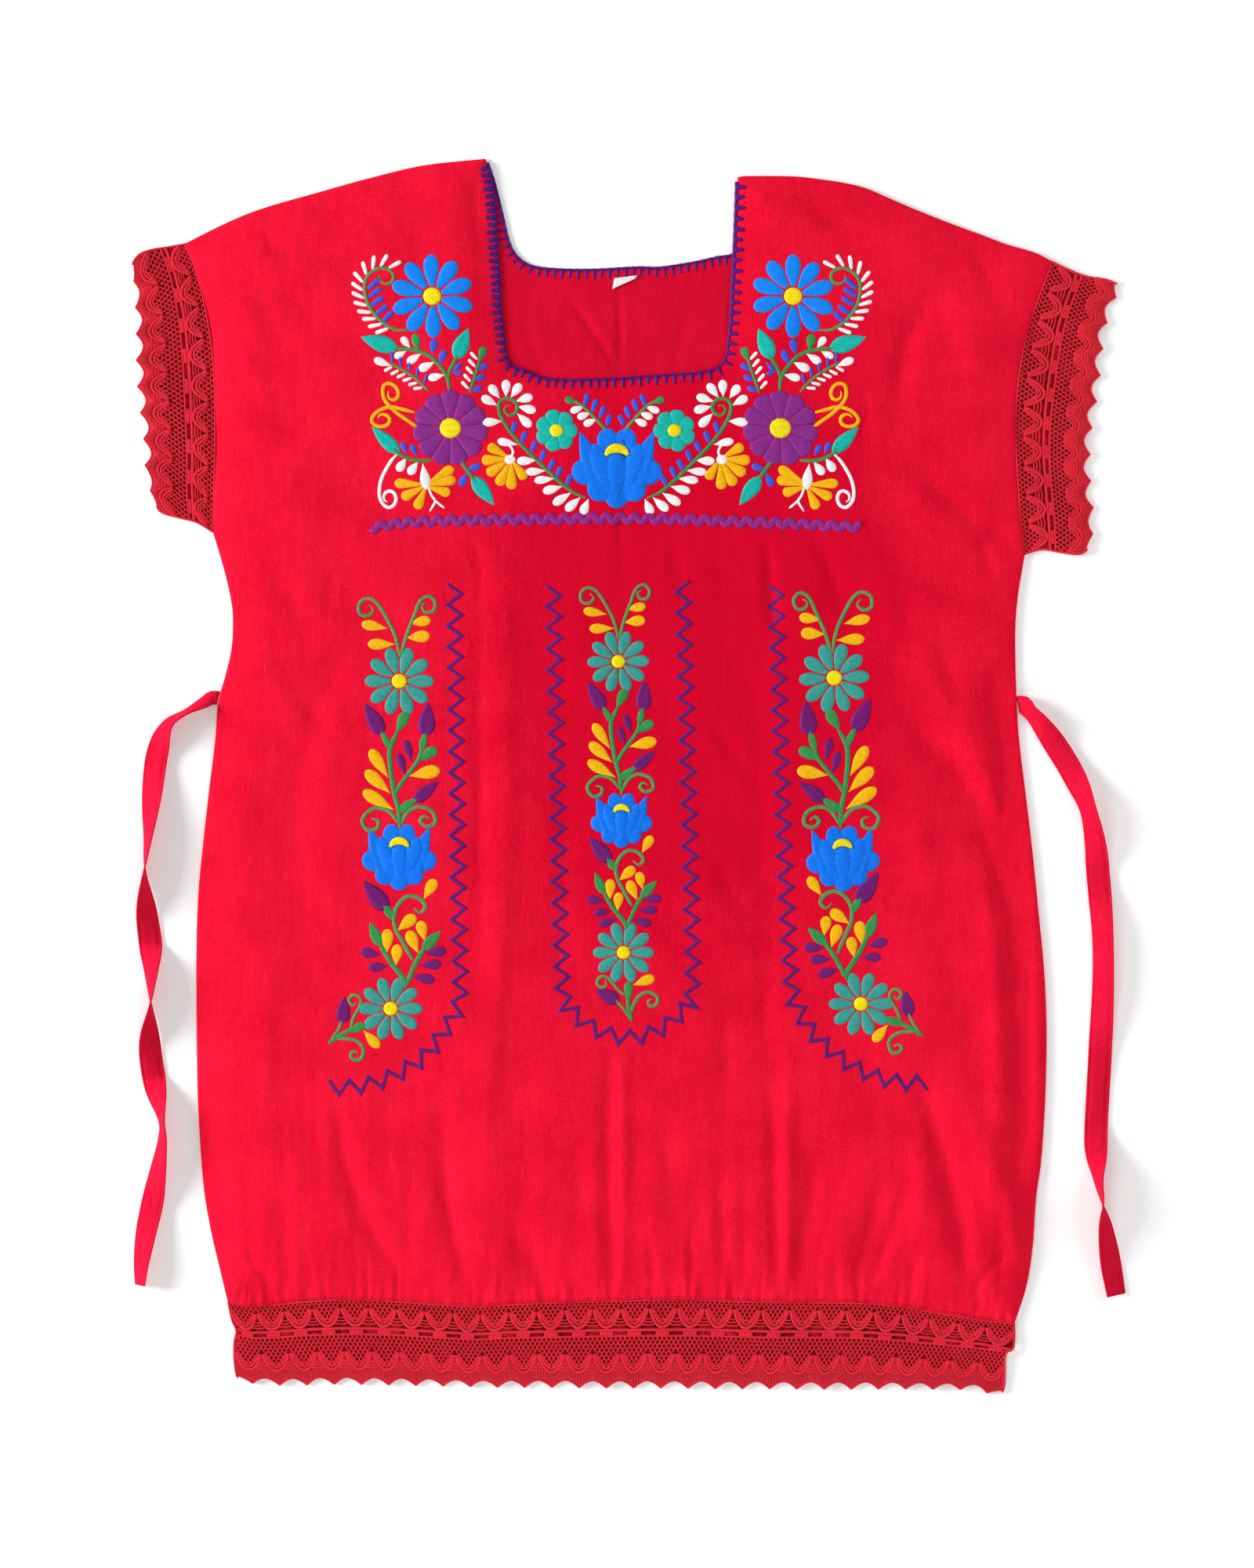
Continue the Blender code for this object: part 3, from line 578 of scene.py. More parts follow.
class Relief:
    """The front's height on an even grid, read between its points."""

    def __init__(self):
        self.counts = [int(reach / GRID) + 1 for reach in GRID_REACH]
        axes = [low + GRID * np.arange(count) for low, count in zip(GRID_LOW, self.counts)]
        x, y = np.meshgrid(*axes, indexing="ij")
        self.values = front_relief(np.column_stack([x.ravel(), y.ravel()])).reshape(self.counts)

    def at(self, points):
        place = np.clip((points - GRID_LOW) / GRID, 0.0, np.array(self.counts) - 1.001)
        i, j = place.astype(int).T
        u, v = (place % 1.0).T
        values = self.values
        low = values[i, j] * (1 - u) + values[i + 1, j] * u
        high = values[i, j + 1] * (1 - u) + values[i + 1, j + 1] * u
        return low * (1 - v) + high * v


RELIEF = Relief()


def front_bottom(points):
    return FRONT_BED + RELIEF.at(points) + gathers_at(points)


def front_top(points):
    return front_bottom(points) + CLOTH_WALL


def back_top(points):
    """The top of the back's inside, creased where it shows in the neck."""
    lines = [from_photo(smooth_line(fold.line, FOLD_STEP)) for fold in BACK_CREASES]
    return CLOTH_WALL + folds_at(points, BACK_CREASES, lines, 0.6)


def lace_bottom(points):
    """The upper layer of lace lies on the lower one in a shallow wave."""
    waves = np.sin(2 * math.pi * (points[:, 0] + points[:, 1]) / LACE_WAVE_LENGTH)
    return LACE_BED + LACE_WAVE * (1.0 + waves)


# Materials


def linear(colour):
    return [((c + 0.055) / 1.055) ** 2.4 if c > 0.04045 else c / 12.92 for c in colour]


class Nodes:
    """A material's node tree, with short ways to add and join nodes."""

    def __init__(self, name, roughness, sheen=0.0, specular=0.3, sheen_tint=(1.0, 1.0, 1.0)):
        self.material = bpy.data.materials.new(name)
        self.material.use_nodes = True
        self.tree = self.material.node_tree
        self.shader = self.tree.nodes["Principled BSDF"]
        self.set(self.shader, "Roughness", roughness)
        self.set(self.shader, "Sheen Weight", sheen)
        self.set(self.shader, "Specular IOR Level", specular)
        self.set(self.shader, "Sheen Tint", (*sheen_tint, 1.0))

    def add(self, kind, **inputs):
        node = self.tree.nodes.new(kind)
        for name, value in inputs.items():
            self.set(node, name, value)
        return node

    def set(self, node, name, value):
        socket = node.inputs[name]
        if isinstance(value, bpy.types.NodeSocket):
            self.tree.links.new(value, socket)
        else:
            socket.default_value = value

    def math(self, operation, *values):
        node = self.tree.nodes.new("ShaderNodeMath")
        node.operation = operation
        for index, value in enumerate(values):
            self.set(node, index, value)
        return node.outputs[0]

    def total(self, *parts):
        """The sum of some values, each times its share."""
        result = 0.0
        for value, share in parts:
            result = self.math("MULTIPLY_ADD", value, share, result)
        return result

    def wave(self, value, length):
        return self.math("SINE", self.math("MULTIPLY", value, 2 * math.pi / length))

    def coordinates(self, scale=(1000.0, 1000.0, 1000.0), source="Object"):
        """Object coordinates, by default in millimetres, or the stitches' own, which already are."""
        texture = self.tree.nodes.new("ShaderNodeTexCoord")
        return self.add("ShaderNodeMapping", Vector=texture.outputs[source], Scale=scale).outputs["Vector"]

    def axes(self, where):
        return list(self.add("ShaderNodeSeparateXYZ", Vector=where).outputs)

    def noise(self, where, scale, detail=2.0):
        return self.add("ShaderNodeTexNoise", Vector=where, Scale=scale, Detail=detail).outputs["Fac"]

    def paint(self, value, stops, colours):
        """Base colour, from the first colour to the second as a value passes between the two stops."""
        node = self.add("ShaderNodeValToRGB", Fac=value)
        for element, stop, colour in zip(node.color_ramp.elements, stops, colours):
            element.position = stop
            element.color = (*colour, 1.0)
        self.set(self.shader, "Base Color", node.outputs["Color"])

    def bump(self, height, strength, distance):
        node = self.add("ShaderNodeBump", Strength=strength, Distance=distance, Height=height)
        self.set(self.shader, "Normal", node.outputs["Normal"])


def shades(colour, amount, lit_pallor=0.0):
    """A colour a share darker and lighter, in linear light; a third value pales the lighter one of a red,
    painted light for the paler look of lit cloth.
    """
    base = np.array(linear(colour))
    return base * (1.0 - amount), np.minimum(base * (1.0 + amount), 1.0) + (0.0, lit_pallor, lit_pallor)


def cotton(name, colour, amount=0.20, painted_shade=0.0, lit_pallor=0.0):
    """Plain-weave cotton: crossing threads of uneven thickness, with a soft nap and a tone that clouds, its
    lighter shade paled as painted light, and, when asked, a painted shadow round a middle.
    """
    made = Nodes(name, roughness=0.88, sheen=0.07, specular=0.06, sheen_tint=linear(colour))
    where = made.coordinates()
    slubs = made.noise(made.coordinates((1000.0, 110.0, 1000.0)), 0.8)
    wefts = made.noise(made.coordinates((150.0, 1000.0, 1000.0)), 0.8)
    crinkles = made.noise(made.coordinates((1000.0, 330.0, 1000.0)), 0.11, 3.0)
    patches = made.noise(where, 0.03, 4.0)
    mottle = made.noise(where, 0.75, 3.0)
    tone = made.total((slubs, 0.18), (patches, 0.34), (wefts, 0.08), (mottle, 0.40))
    x, y, _ = made.axes(where)
    # Painted shadow: the tone sinks towards the darker shade round a middle over the chest, where the light
    # is weaker
    if painted_shade:
        across, up = (
            made.math("DIVIDE", made.math("SUBTRACT", place, middle), reach)
            for place, middle, reach in zip((x, y), PAINTED_SHADE_MIDDLE, PAINTED_SHADE_REACH)
        )
        far = made.math("MULTIPLY_ADD", across, across, made.math("MULTIPLY", up, up))
        fade = made.math("DIVIDE", painted_shade, made.math("MULTIPLY_ADD", far, far, 1.0))
        tone = made.math("SUBTRACT", tone, fade)
    made.paint(tone, (0.30, 0.66), shades(colour, amount, lit_pallor))
    weave = made.math("MULTIPLY", made.wave(x, WEAVE_PITCH), made.wave(y, WEAVE_PITCH))
    made.bump(made.total((weave, 0.35), (slubs, 1.0), (wefts, 1.0), (crinkles, CRINKLE)), 0.55, 0.00016)
    return made.material


def lace_thread(name, colour, amount):
    """Cotton lace: plied thread, its strands seen as fine slanting lines."""
    made = Nodes(name, roughness=0.8, sheen=0.1, specular=0.25)
    where = made.coordinates()
    grain = made.noise(where, 0.9)
    made.paint(grain, (0.3, 0.7), shades(colour, amount))
    x, y, _ = made.axes(where)
    plies = made.wave(made.math("MULTIPLY_ADD", y, 0.7, x), PLY_PITCH)
    made.bump(made.total((plies, 0.4), (grain, 1.0)), 0.5, 0.0002)
    return made.material


def shaded_under_lace_thread(name, colour):
    """The lower layer of lace, seen through the holes of the upper one, in painted shade: its red darker than
    the upper lace's, and its net painted on a whole sheet as lighter strands round dark cells, which stand
    for shaded holes.
    """
    made = Nodes(name, roughness=0.88, sheen=0.05, specular=0.2)
    cells = made.add("ShaderNodeTexVoronoi", Vector=made.coordinates(), Scale=0.42)
    cells.feature = "DISTANCE_TO_EDGE"
    gap = cells.outputs["Distance"]
    # Painted shade: the cells of the net are dark, its strands lighter
    made.paint(gap, (0.05, 0.2), reversed(shades(colour, 0.45)))
    made.bump(made.math("SUBTRACT", 0.0, gap), 0.6, 0.0006)
    return made.material


def satin(name, colour, across=True):
    """Embroidery thread, laid side by side a little unevenly: across each pad, or along it."""
    made = Nodes(name, roughness=0.5, sheen=0.05, specular=0.2, sheen_tint=linear(colour))
    stretch = (1.0, 0.22, 1.0) if across else (0.22, 1.0, 1.0)
    streaks = made.noise(made.coordinates(stretch, "UV"), 1.5)
    mottle = made.noise(made.coordinates(), 0.4, 3.0)
    made.paint(made.total((streaks, 0.5), (mottle, 0.5)), (0.36, 0.62), shades(colour, 0.17))
    x, y, _ = made.axes(made.coordinates((1.0, 1.0, 1.0), "UV"))
    threads = made.wave(x if across else y, THREAD_PITCH)
    made.bump(made.total((threads, 0.5), (streaks, 1.0)), 0.35, 0.00018)
    return made.material


def paper_floor():
    made = Nodes("pale_floor_painted_glow", roughness=0.9, specular=0.1)
    grain = made.noise(made.coordinates((1.0, 1.0, 1.0)), 3.0)
    made.paint(grain, (0.3, 0.7), (linear((0.965, 0.965, 0.965)), linear((0.98, 0.98, 0.98))))
    # Painted light: the floor glows faintly though it is no lamp
    made.set(made.shader, "Emission Color", (1.0, 1.0, 1.0, 1.0))
    made.set(made.shader, "Emission Strength", FLOOR_PAINTED_GLOW)
    return made.material


LOOKS = {name: satin("thread_" + name, colour, name != "violet") for name, colour in THREADS.items()}
# The front's red: a painted shadow over its middle, and its lighter shade paled as painted light
LOOKS["cloth"] = cotton("red_cotton", (0.935, 0.008, 0.185), painted_shade=0.36, lit_pallor=0.009)
LOOKS["inside"] = cotton("red_cotton_inside", (0.84, 0.03, 0.18))
LOOKS["tie"] = cotton("red_cotton_tie", (0.86, 0.022, 0.2), lit_pallor=0.007)
LOOKS["lace"] = lace_thread("red_lace", (0.89, 0.085, 0.195), 0.22)
# The lower lace's red, darker than the upper lace's: painted shade under the upper layer
LOOKS["under_lace"] = shaded_under_lace_thread("red_lace_below_painted_shade", (0.68, 0.02, 0.12))
LOOKS["label"] = cotton("white_tape", (0.95, 0.93, 0.94), 0.05)
# Seam thread darker than the cloth: painted shade for the dark dots between the gathers at the seam
LOOKS["seam"] = satin("thread_seam_painted_shade", (0.74, 0.03, 0.14))


# Meshes


# The closed section of a strand or a pad: across, as a share of its half width, and up, of its rise
ROUND_SECTION = ((-1.0, 0.0), (-0.62, 0.78), (0.0, 1.0), (0.62, 0.78), (1.0, 0.0))
PAD_SECTION = pairs(-1.0, -0.1, -0.8, 0.62, -0.42, 0.95, 0.0, 1.0, 0.42, 0.95, 0.8, 0.62, 1.0, -0.1)
LEAF_SECTION = pairs(-1.0, -0.1, -0.72, 0.8, -0.36, 0.95, 0.0, 0.5, 0.36, 0.95, 0.72, 0.8, 1.0, -0.1)
MITRE_LIMIT = 0.45
ROLL_WIDTH = 2.4


class Piece:
    """The mesh of one piece, gathered from closed strips and sheets."""

    def __init__(self, name, looks):
        self.name = name
        self.looks = list(looks)
        self.points, self.uvs, self.faces, self.slots = [], [], [], []
        self.count = 0

    def add(self, points, uvs, faces, look):
        self.points.append(points)
        self.uvs.append(uvs)
        self.faces.extend([[int(v) + self.count for v in face] for face in faces])
        self.slots.extend([self.looks.index(look)] * len(faces))
        self.count += len(points)

    def tube(self, rings, uvs, look):
        """A closed body through rings of points, (ring, place, axis)."""
        n, k = rings.shape[:2]
        ids = np.arange(n * k).reshape(n, k)
        after = np.roll(ids, -1, axis=1)
        quads = np.stack([ids[:-1], after[:-1], after[1:], ids[1:]], axis=-1).reshape(-1, 4)
        faces = quads.tolist() + [ids[0][::-1].tolist(), ids[-1].tolist()]
        self.add(rings.reshape(-1, 3), uvs.reshape(-1, 2), faces, look)

    def strip(self, line, half, rise, look, ground, section=PAD_SECTION, mitre=False, lift=0.0):
        """A crowned strip along a line on the ground, whose half width is one value or one for each point."""
        half = np.broadcast_to(np.asarray(half, float), len(line))
        runs = ways_of(line)
        if mitre:
            steps = units(np.diff(line, axis=0))
            runs = units(np.vstack([steps[:1], steps[:-1] + steps[1:], steps[-1:]]))
            half = half.copy()
            half[1:-1] /= np.maximum((runs[1:-1] * steps[1:]).sum(axis=1), MITRE_LIMIT)
        across, up = np.array(section).T
        places = line[:, None, :] + left_of(runs)[:, None, :] * (half[:, None] * across)[..., None]
        low = np.sqrt(np.clip(half / half.max(), 0.05, 1.0))
        heights = ground(places.reshape(-1, 2)).reshape(len(line), -1)
        heights = heights + lift + rise * low[:, None] * up
        uvs = np.stack(np.broadcast_arrays(way_along(line)[:, None], half[:, None] * across), axis=-1)
        self.tube(np.dstack([places, heights]), uvs, look)

    def made(self, slot, *replaced):
        """The object of the piece, riding on the dress's one body."""
        points = np.concatenate(self.points) * MILLIMETRE
        data = bpy.data.meshes.new(self.name)
        data.from_pydata(points.tolist(), [], self.faces)
        data.polygons.foreach_set("material_index", self.slots)
        data.shade_smooth()
        corners = np.empty(len(data.loops), np.int32)
        data.loops.foreach_get("vertex_index", corners)
        data.uv_layers.new(name="stitches").data.foreach_set("uv", np.concatenate(self.uvs)[corners].ravel())
        for look in self.looks:
            data.materials.append(LOOKS[look])
        made = link(self.name, data)
        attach(made, "root")
        if replaced:
            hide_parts(*replaced)
        return made


def sheet(name, outline, inner, bottom, wall, look, holes=(), top=None):
    """A thin closed cloth with a soft rolled edge, from its outline, inner points and heights."""
    around = np.vstack([outline[-1:], outline, outline[:1]])
    rings = [moved_in(around, gap)[1:-1] for gap in (0.9, ROLL_WIDTH)]
    given = []
    edges = []
    loops = []
    for loop in (outline, *holes):
        ids = range(len(given), len(given) + len(loop))
        given += map(tuple, loop)
        edges += zip(ids, (*ids[1:], ids[0]))
        loops.append(set(ids))
    given += map(tuple, np.vstack([*rings, inner]))
    found = delaunay_2d_cdt(given, edges, [], 1, 1e-4)
    sources = [set(each) for each in found[3]]
    kept = [face for face in found[2] if not any(all(sources[v] & hole for v in face) for hole in loops[1:])]
    used, faces = np.unique(np.array(kept), return_inverse=True)
    flat = np.array([tuple(point) for point in found[0]])[used]
    faces = faces.reshape(-1, 3)
    low = bottom(flat)
    gap = distance_to(flat, closed(outline))[0]
    roll = 0.35 + 0.65 * np.sqrt(1.0 - (1.0 - np.clip(gap / ROLL_WIDTH, 0.0, 1.0)) ** 2)
    high = low + wall * roll if top is None else low + (top(flat) - low) * roll
    a, b, c = (flat[faces[:, corner]] for corner in range(3))
    up = np.cross(b - a, c - a) > 0
    faces = np.where(up[:, None], faces, faces[:, ::-1])
    count = len(flat)
    known = {(int(face[i - 1]), int(face[i])) for face in faces for i in range(3)}
    walls = [[i, i + count, j + count, j] for i, j in known if (j, i) not in known]
    piece = Piece(name, [look])
    both = np.vstack([np.column_stack([flat, high]), np.column_stack([flat, low])])
    everything = faces.tolist() + (faces[:, ::-1] + count).tolist() + walls
    piece.add(both, both[:, :2], everything, look)
    return piece


def hex_grid(low, high, step):
    """Points in even, staggered rows between two corners."""
    row_gap = step * math.sqrt(0.75)
    rows = np.arange(low[1], high[1], row_gap)
    columns = np.arange(low[0], high[0], step)
    x = columns[None, :] + 0.5 * step * (np.arange(len(rows)) % 2)[:, None]
    y = np.broadcast_to(rows[:, None], x.shape)
    return np.column_stack([x.ravel(), y.ravel()])


def clear_of_edge(points, outline, margin):
    return points[distance_to(points, closed(outline))[0] > margin]


# Cloth


# A tie's upper half in section, its two rows of stitches sunk in: across and up, as shares
TIE_UPPER = pairs(
    -1.0, 0.0, -0.985, 0.7, -0.93, 1.0, -0.80, 0.95, -0.76, 0.55, -0.72, 0.95, -0.3, 0.85, 0.0, 0.8,
    0.3, 0.85, 0.72, 0.95, 0.76, 0.55, 0.80, 0.95, 0.93, 1.0, 0.985, 0.7,
)
CLOTH_BOX = (-300.0, -372.0), (300.0, 420.0)
# Where the back's inside shows in the neck
SHOWN_BOX = (-98.0, 260.0), (82.0, 354.0)


def build_front():
    """The front: folds, creases and gathers on its solid's form."""
    outline = panel_outline(FRONT_NECK, FRONT_EDGE_STEP)
    grid = hex_grid(*CLOTH_BOX, FRONT_STEP)
    grid = clear_of_edge(grid[inside(grid, COARSE_OUTLINE)], outline, EDGE_MARGIN)
    grid = grid[above_hem(grid) > GATHER_STEP_TOP + 1.0]
    columns = along(HEM_LINE, np.linspace(0.006, 0.994, GATHER_COLUMNS))
    near_hem = np.vstack([columns + (0.0, gap) for gap in np.arange(4.2, GATHER_STEP_TOP, GATHER_STEP)])
    inner = np.vstack([clear_of_edge(near_hem, outline, 0.9 * EDGE_MARGIN), grid])
    piece = sheet("front_cloth", outline, inner, front_bottom, CLOTH_WALL, "cloth")
    made = piece.made("red_cotton", "front_panel")


def build_back():
    """The back, flat below and creased above where its inside shows in the neck."""
    outline = panel_outline(BACK_NECK, BACK_EDGE_STEP)
    grid = hex_grid(*CLOTH_BOX, BACK_STEP)
    shown = ((grid > SHOWN_BOX[0]) & (grid < SHOWN_BOX[1])).all(axis=1)
    grid = np.vstack([grid[~shown], hex_grid((-96.0, 262.0), (80.0, 352.0), BACK_SHOWN_STEP)])
    grid = clear_of_edge(grid[inside(grid, panel_outline(BACK_NECK, COARSE_STEP))], outline, EDGE_MARGIN)
    piece = sheet("back_cloth", outline, grid, level, CLOTH_WALL, "inside", top=back_top)
    made = piece.made("red_cotton", "back_panel")


def build_tie(name, stations, node):
    """A tie: a flat tube of cloth, turned over with stitched edges, twisted as it fell."""
    rows = smooth_line(stations, 2.0)
    middle, width = rows[:, :2], rows[:, 2]
    left = left_of(ways_of(middle))
    cosine, sine = np.cos(np.radians(rows[:, 3])), np.sin(np.radians(rows[:, 3]))
    side = np.column_stack([left * cosine[:, None], sine])
    face = np.column_stack([-left * sine[:, None], cosine])
    lift = 0.5 * (np.abs(sine) * width + np.abs(cosine) * TIE_WALL)
    section = np.vstack([TIE_UPPER, -np.array(TIE_UPPER)])
    rings = np.column_stack([middle, lift])[:, None] + 0.5 * (
        (width[:, None] * section[:, 0])[..., None] * side[:, None]
        + TIE_WALL * section[:, 1][:, None] * face[:, None]
    )
    uvs = np.stack(np.broadcast_arrays(way_along(middle)[:, None], 0.5 * TIE_WIDTH * section[:, 0]), axis=-1)
    piece = Piece(name, ["tie"])
    piece.tube(rings, uvs, "tie")
    made = piece.made("red_cotton", node)


def build_label():
    """The blank folded label: two thicknesses of white tape, its fold at the lower edge."""
    corners = np.array(NECK_LABEL)
    steps = np.linspace(0.0, 1.0, 9)
    rings = []
    for t in steps:
        left = corners[0] + (corners[3] - corners[0]) * t
        right = corners[1] + (corners[2] - corners[1]) * t
        across = left + (right - left) * steps[:, None]
        top = np.column_stack([across, 2.42 + 0.08 * np.sin(3.0 * steps + 2.0 * t)])
        low = np.column_stack([across[::-1], np.full(9, 1.5 + 0.12 * (1.0 - t))])
        rings.append(np.vstack([top, low]))
    rings = np.stack(rings)
    piece = Piece("blank_label", ["label"])
    piece.tube(rings, rings[..., :2], "label")
    made = piece.made("white_label", "neck_label")


# Lace: depths in the photograph's pixels, from the seam down, and places along it in repeats


PITCH = 34.9
NET_STRANDS = 12
NET_CELL = 9.4
NET_CELL_STEPS = 6.0
NET_SWING = 1.22
TEETH_STRANDS = 17
THIN_SECTION = ((-1.0, 0.0), (-0.5, 0.85), (0.5, 0.85), (1.0, 0.0))
SCALLOP_HALF = 15.8
SCALLOP_BEND = 1.54

# The nested strands of a scallop: how far in from the outer one, how far round, half width and rise in mm
SCALLOP_STRANDS = (
    ScallopStrand(0.0, 90.0, 1.12, 0.8),
    ScallopStrand(4.6, 82.0, 0.78, 0.7),
    ScallopStrand(8.2, 70.0, 0.5, 0.6),
)
# Small strands between two scallops: share of their height, half length and sag in pixels
DASHES = ((0.50, 4.6, 1.2), (0.66, 6.6, 1.6), (0.83, 9.0, 1.6))


class Band:
    """The place on the cloth of a point of one lace band, from its repeat and its depth in pixels."""

    def __init__(self, lace, slot_share):
        self.lace = lace
        shares = np.linspace(0.0, 1.0, 1200)
        self.shares = shares
        self.near = along(smooth_line(lace.seam, 4.0), shares)
        self.far = along(smooth_line(lace.outer, 4.0), shares)
        first = smooth_line((lace.seam[0],) + lace.first_end + (lace.outer[0],), 1.0)
        last = smooth_line((lace.seam[-1],) + lace.last_end + (lace.outer[-1],), 1.0)
        self.ends = [along(first, shares), along(last, shares)]
        self.depth = float(np.linalg.norm(self.far - self.near, axis=1).mean()) / PIXEL
        self.slot = slot_share * self.depth
        rest = self.depth - self.slot
        # Each row: where its net begins, its scallops' peaks and how far down they hang
        self.rows = (
            (0.0, 0.26 * self.slot, 0.56 * self.slot),
            (self.slot + 4.0, self.slot + 0.37 * rest, 0.34 * rest),
        )

    def read(self, table, shares):
        return np.column_stack([np.interp(shares, self.shares, table[:, axis]) for axis in (0, 1)])

    def at(self, repeats, depths):
        share = np.clip(np.asarray(repeats, float) / self.lace.repeats, 0.0, 1.0)
        v = np.broadcast_to(np.asarray(depths, float) / self.depth, share.shape)
        near = self.read(self.near, share)
        far = self.read(self.far, share)
        points = near + v[:, None] * (far - near)
        for index, end in enumerate(self.ends):
            edge = self.near[-index], self.far[-index]
            straight = edge[0] + v[:, None] * (edge[1] - edge[0])
            weight = (share if index else 1.0 - share) ** (1.6 * self.lace.repeats)
            points += weight[:, None] * (self.read(end, v) - straight)
        return points

    def tip(self, repeats):
        """Depth of the edge, whose points hang between the valleys at each whole repeat."""
        part = np.abs(2.0 * (repeats - np.floor(repeats)) - 1.0)
        return self.depth - POINT_DEPTH / PIXEL * (1.0 - (1.0 - part) ** 1.7)


def scallop_depth(repeats, peak, height):
    """Depth of the outer strand of the scallops at these repeats."""
    across = np.abs(repeats - np.floor(repeats) - 0.5) * PITCH
    return peak + height * np.clip(1.0 - (across / SCALLOP_HALF) ** 2, 0.0, 1.0) ** (0.5 * SCALLOP_BEND)


def scallop_line(strand, peak, height):
    """One strand of a scallop: repeats from its middle, and depths."""
    angles = np.radians(np.linspace(-strand.turn, strand.turn, 15))
    line = np.column_stack([SCALLOP_HALF * np.sin(angles), height * np.cos(angles) ** SCALLOP_BEND])
    gap = strand.inward * (0.35 + 0.65 * np.cos(angles))
    line = line - gap[:, None] * left_of(ways_of(line))
    return line[:, 0] / PITCH, peak + line[:, 1]


def build_lace(place):
    """Both layers of a band: the upper one strand by strand, the lower one as a pierced sheet."""
    lace = BANDS[place]
    band = Band(lace, SLOT_SHARE[place])
    n = lace.repeats
    piece = Piece(place + "_lace_upper", ["lace"])

    def strand(repeats, depths, half, rise, section=ROUND_SECTION):
        piece.strip(band.at(repeats, depths), half, rise, "lace", lace_bottom, section)

    for top, peak, height in band.rows:
        for i in range(n * NET_STRANDS):
            middle = (i + 0.5) / NET_STRANDS
            low = scallop_depth(middle, peak, height) - 2.5
            count = int((low - top) / NET_CELL * NET_CELL_STEPS) + 1
            if count >= 3:
                depths = top + NET_CELL / NET_CELL_STEPS * np.arange(count)
                wave = np.clip(1.5 * np.sin(2 * math.pi * (depths - top) / NET_CELL), -1.0, 1.0)
                swing = NET_SWING * (1.0 if i % 2 else -1.0) * wave / PITCH
                strand(np.clip(middle + swing, 0.01, n - 0.01), depths, 0.42, 0.55, THIN_SECTION)
        for k in range(n):
            for each in SCALLOP_STRANDS:
                repeats, depths = scallop_line(each, peak, height)
                strand(k + 0.5 + repeats, np.maximum(depths, 0.5), each.half, each.rise)
        for k in range(1, n):
            for share, reach, sag in DASHES:
                across = np.linspace(-1.0, 1.0, 5)
                depths = peak + share * height + sag * (1.0 - across**2)
                strand(k + across * reach / PITCH, depths, 0.45, 0.75)
    line = np.linspace(0.0, n, n * 10 + 1)
    for depth, half, rise in ((1.0, 0.6, 0.6), (band.slot - 3.9, 0.9, 0.65), (band.slot + 3.4, 0.6, 0.6)):
        strand(line, np.full(len(line), depth), half, rise)
    for k in range(n):
        for part in np.linspace(-0.9, 0.9, 7):
            repeats = np.full(3, k + 0.5 + part * 0.5 * (1.0 - SLOT_LENGTH_SHARE))
            strand(repeats, band.slot + np.array((-4.0, 0.0, 3.4)), 0.85, 0.45, THIN_SECTION)
    _, peak, height = band.rows[1]
    for i in range(n * TEETH_STRANDS + 1):
        place_along = min(max(i / TEETH_STRANDS, 0.012), n - 0.012)
        low = scallop_depth(place_along, peak, height) + 1.5
        tip = band.tip(place_along) - 0.8
        if tip - low > 1.0:
            strand(np.full(4, place_along), np.linspace(low, tip, 4), 0.5, 0.62, THIN_SECTION)
    edge = np.linspace(0.0, n, n * 16 + 1)
    strand(edge, band.tip(edge) - 0.6, 0.55, 0.75)
    for side in (0.014, n - 0.014):
        strand(np.full(30, side), np.linspace(0.0, 0.94 * band.depth, 30), 0.75, 0.9)
    upper = piece.made("red_lace", place + "_lace_front")
    under = build_under_lace(place, lace, band)


def build_under_lace(place, lace, band):
    """The lower layer: a flat pierced sheet with the same row of points."""
    n = lace.repeats
    repeats = np.linspace(0.0, n, n * 10 + 1)
    seam = band.at(repeats, 0.6)
    tips = band.at(repeats, band.tip(repeats))
    sides = [band.at(np.full(14, u), np.linspace(0.0, 0.9 * band.depth, 16)[1:-1]) for u in (n, 0.0)]
    outline = np.vstack([seam, sides[0], tips[::-1], sides[1][::-1]])
    if np.cross(outline, np.roll(outline, -1, axis=0)).sum() < 0:
        outline = outline[::-1]
    half = 0.5 * SLOT_LENGTH_SHARE - 0.09
    high = 0.5 * SLOT_WIDTH / PIXEL
    across = 0.5 + half * np.array((-1.0, 1.0, 1.0, -1.0))
    down = band.slot + high * np.array((-1.0, -1.0, 1.0, 1.0))
    slots = [band.at(k + across, down) for k in range(n)]
    piece = sheet(place + "_lace_lower", outline, np.empty((0, 2)), level, LACE_WALL, "under_lace", slots)
    return piece.made("red_lace", place + "_lace_back")


# Embroidery


def round_end(t, start):
    """A half circle, drawn out, from a start to 1."""
    return np.sqrt(np.clip(1.0 - ((t - start) / (1.0 - start)) ** 2, 0.0, 1.0))


def petal_width(t):
    return np.where(t < 0.64, 0.28 + 0.72 * swell(t / 0.64) ** 1.2, round_end(t, 0.64))


def drop_width(t):
    return np.where(t < 0.68, 0.04 + 0.96 * swell(t / 0.68) ** 1.35, round_end(t, 0.68))


def leaf_width(t):
    return np.sin(math.pi * np.clip(t, 0.0, 1.0) ** 0.72) ** 0.9


def bud_width(t):
    return np.sin(math.pi * np.clip(t, 0.0, 1.0) ** 0.6) ** 0.75


def fan_width(t):
    return np.where(t < 0.8, 0.16 + 0.84 * np.clip(t / 0.8, 0.0, 1.0), round_end(t, 0.8))


def disc_width(t):
    return np.sqrt(np.clip(1.0 - (2.0 * t - 1.0) ** 2, 0.0, 1.0))


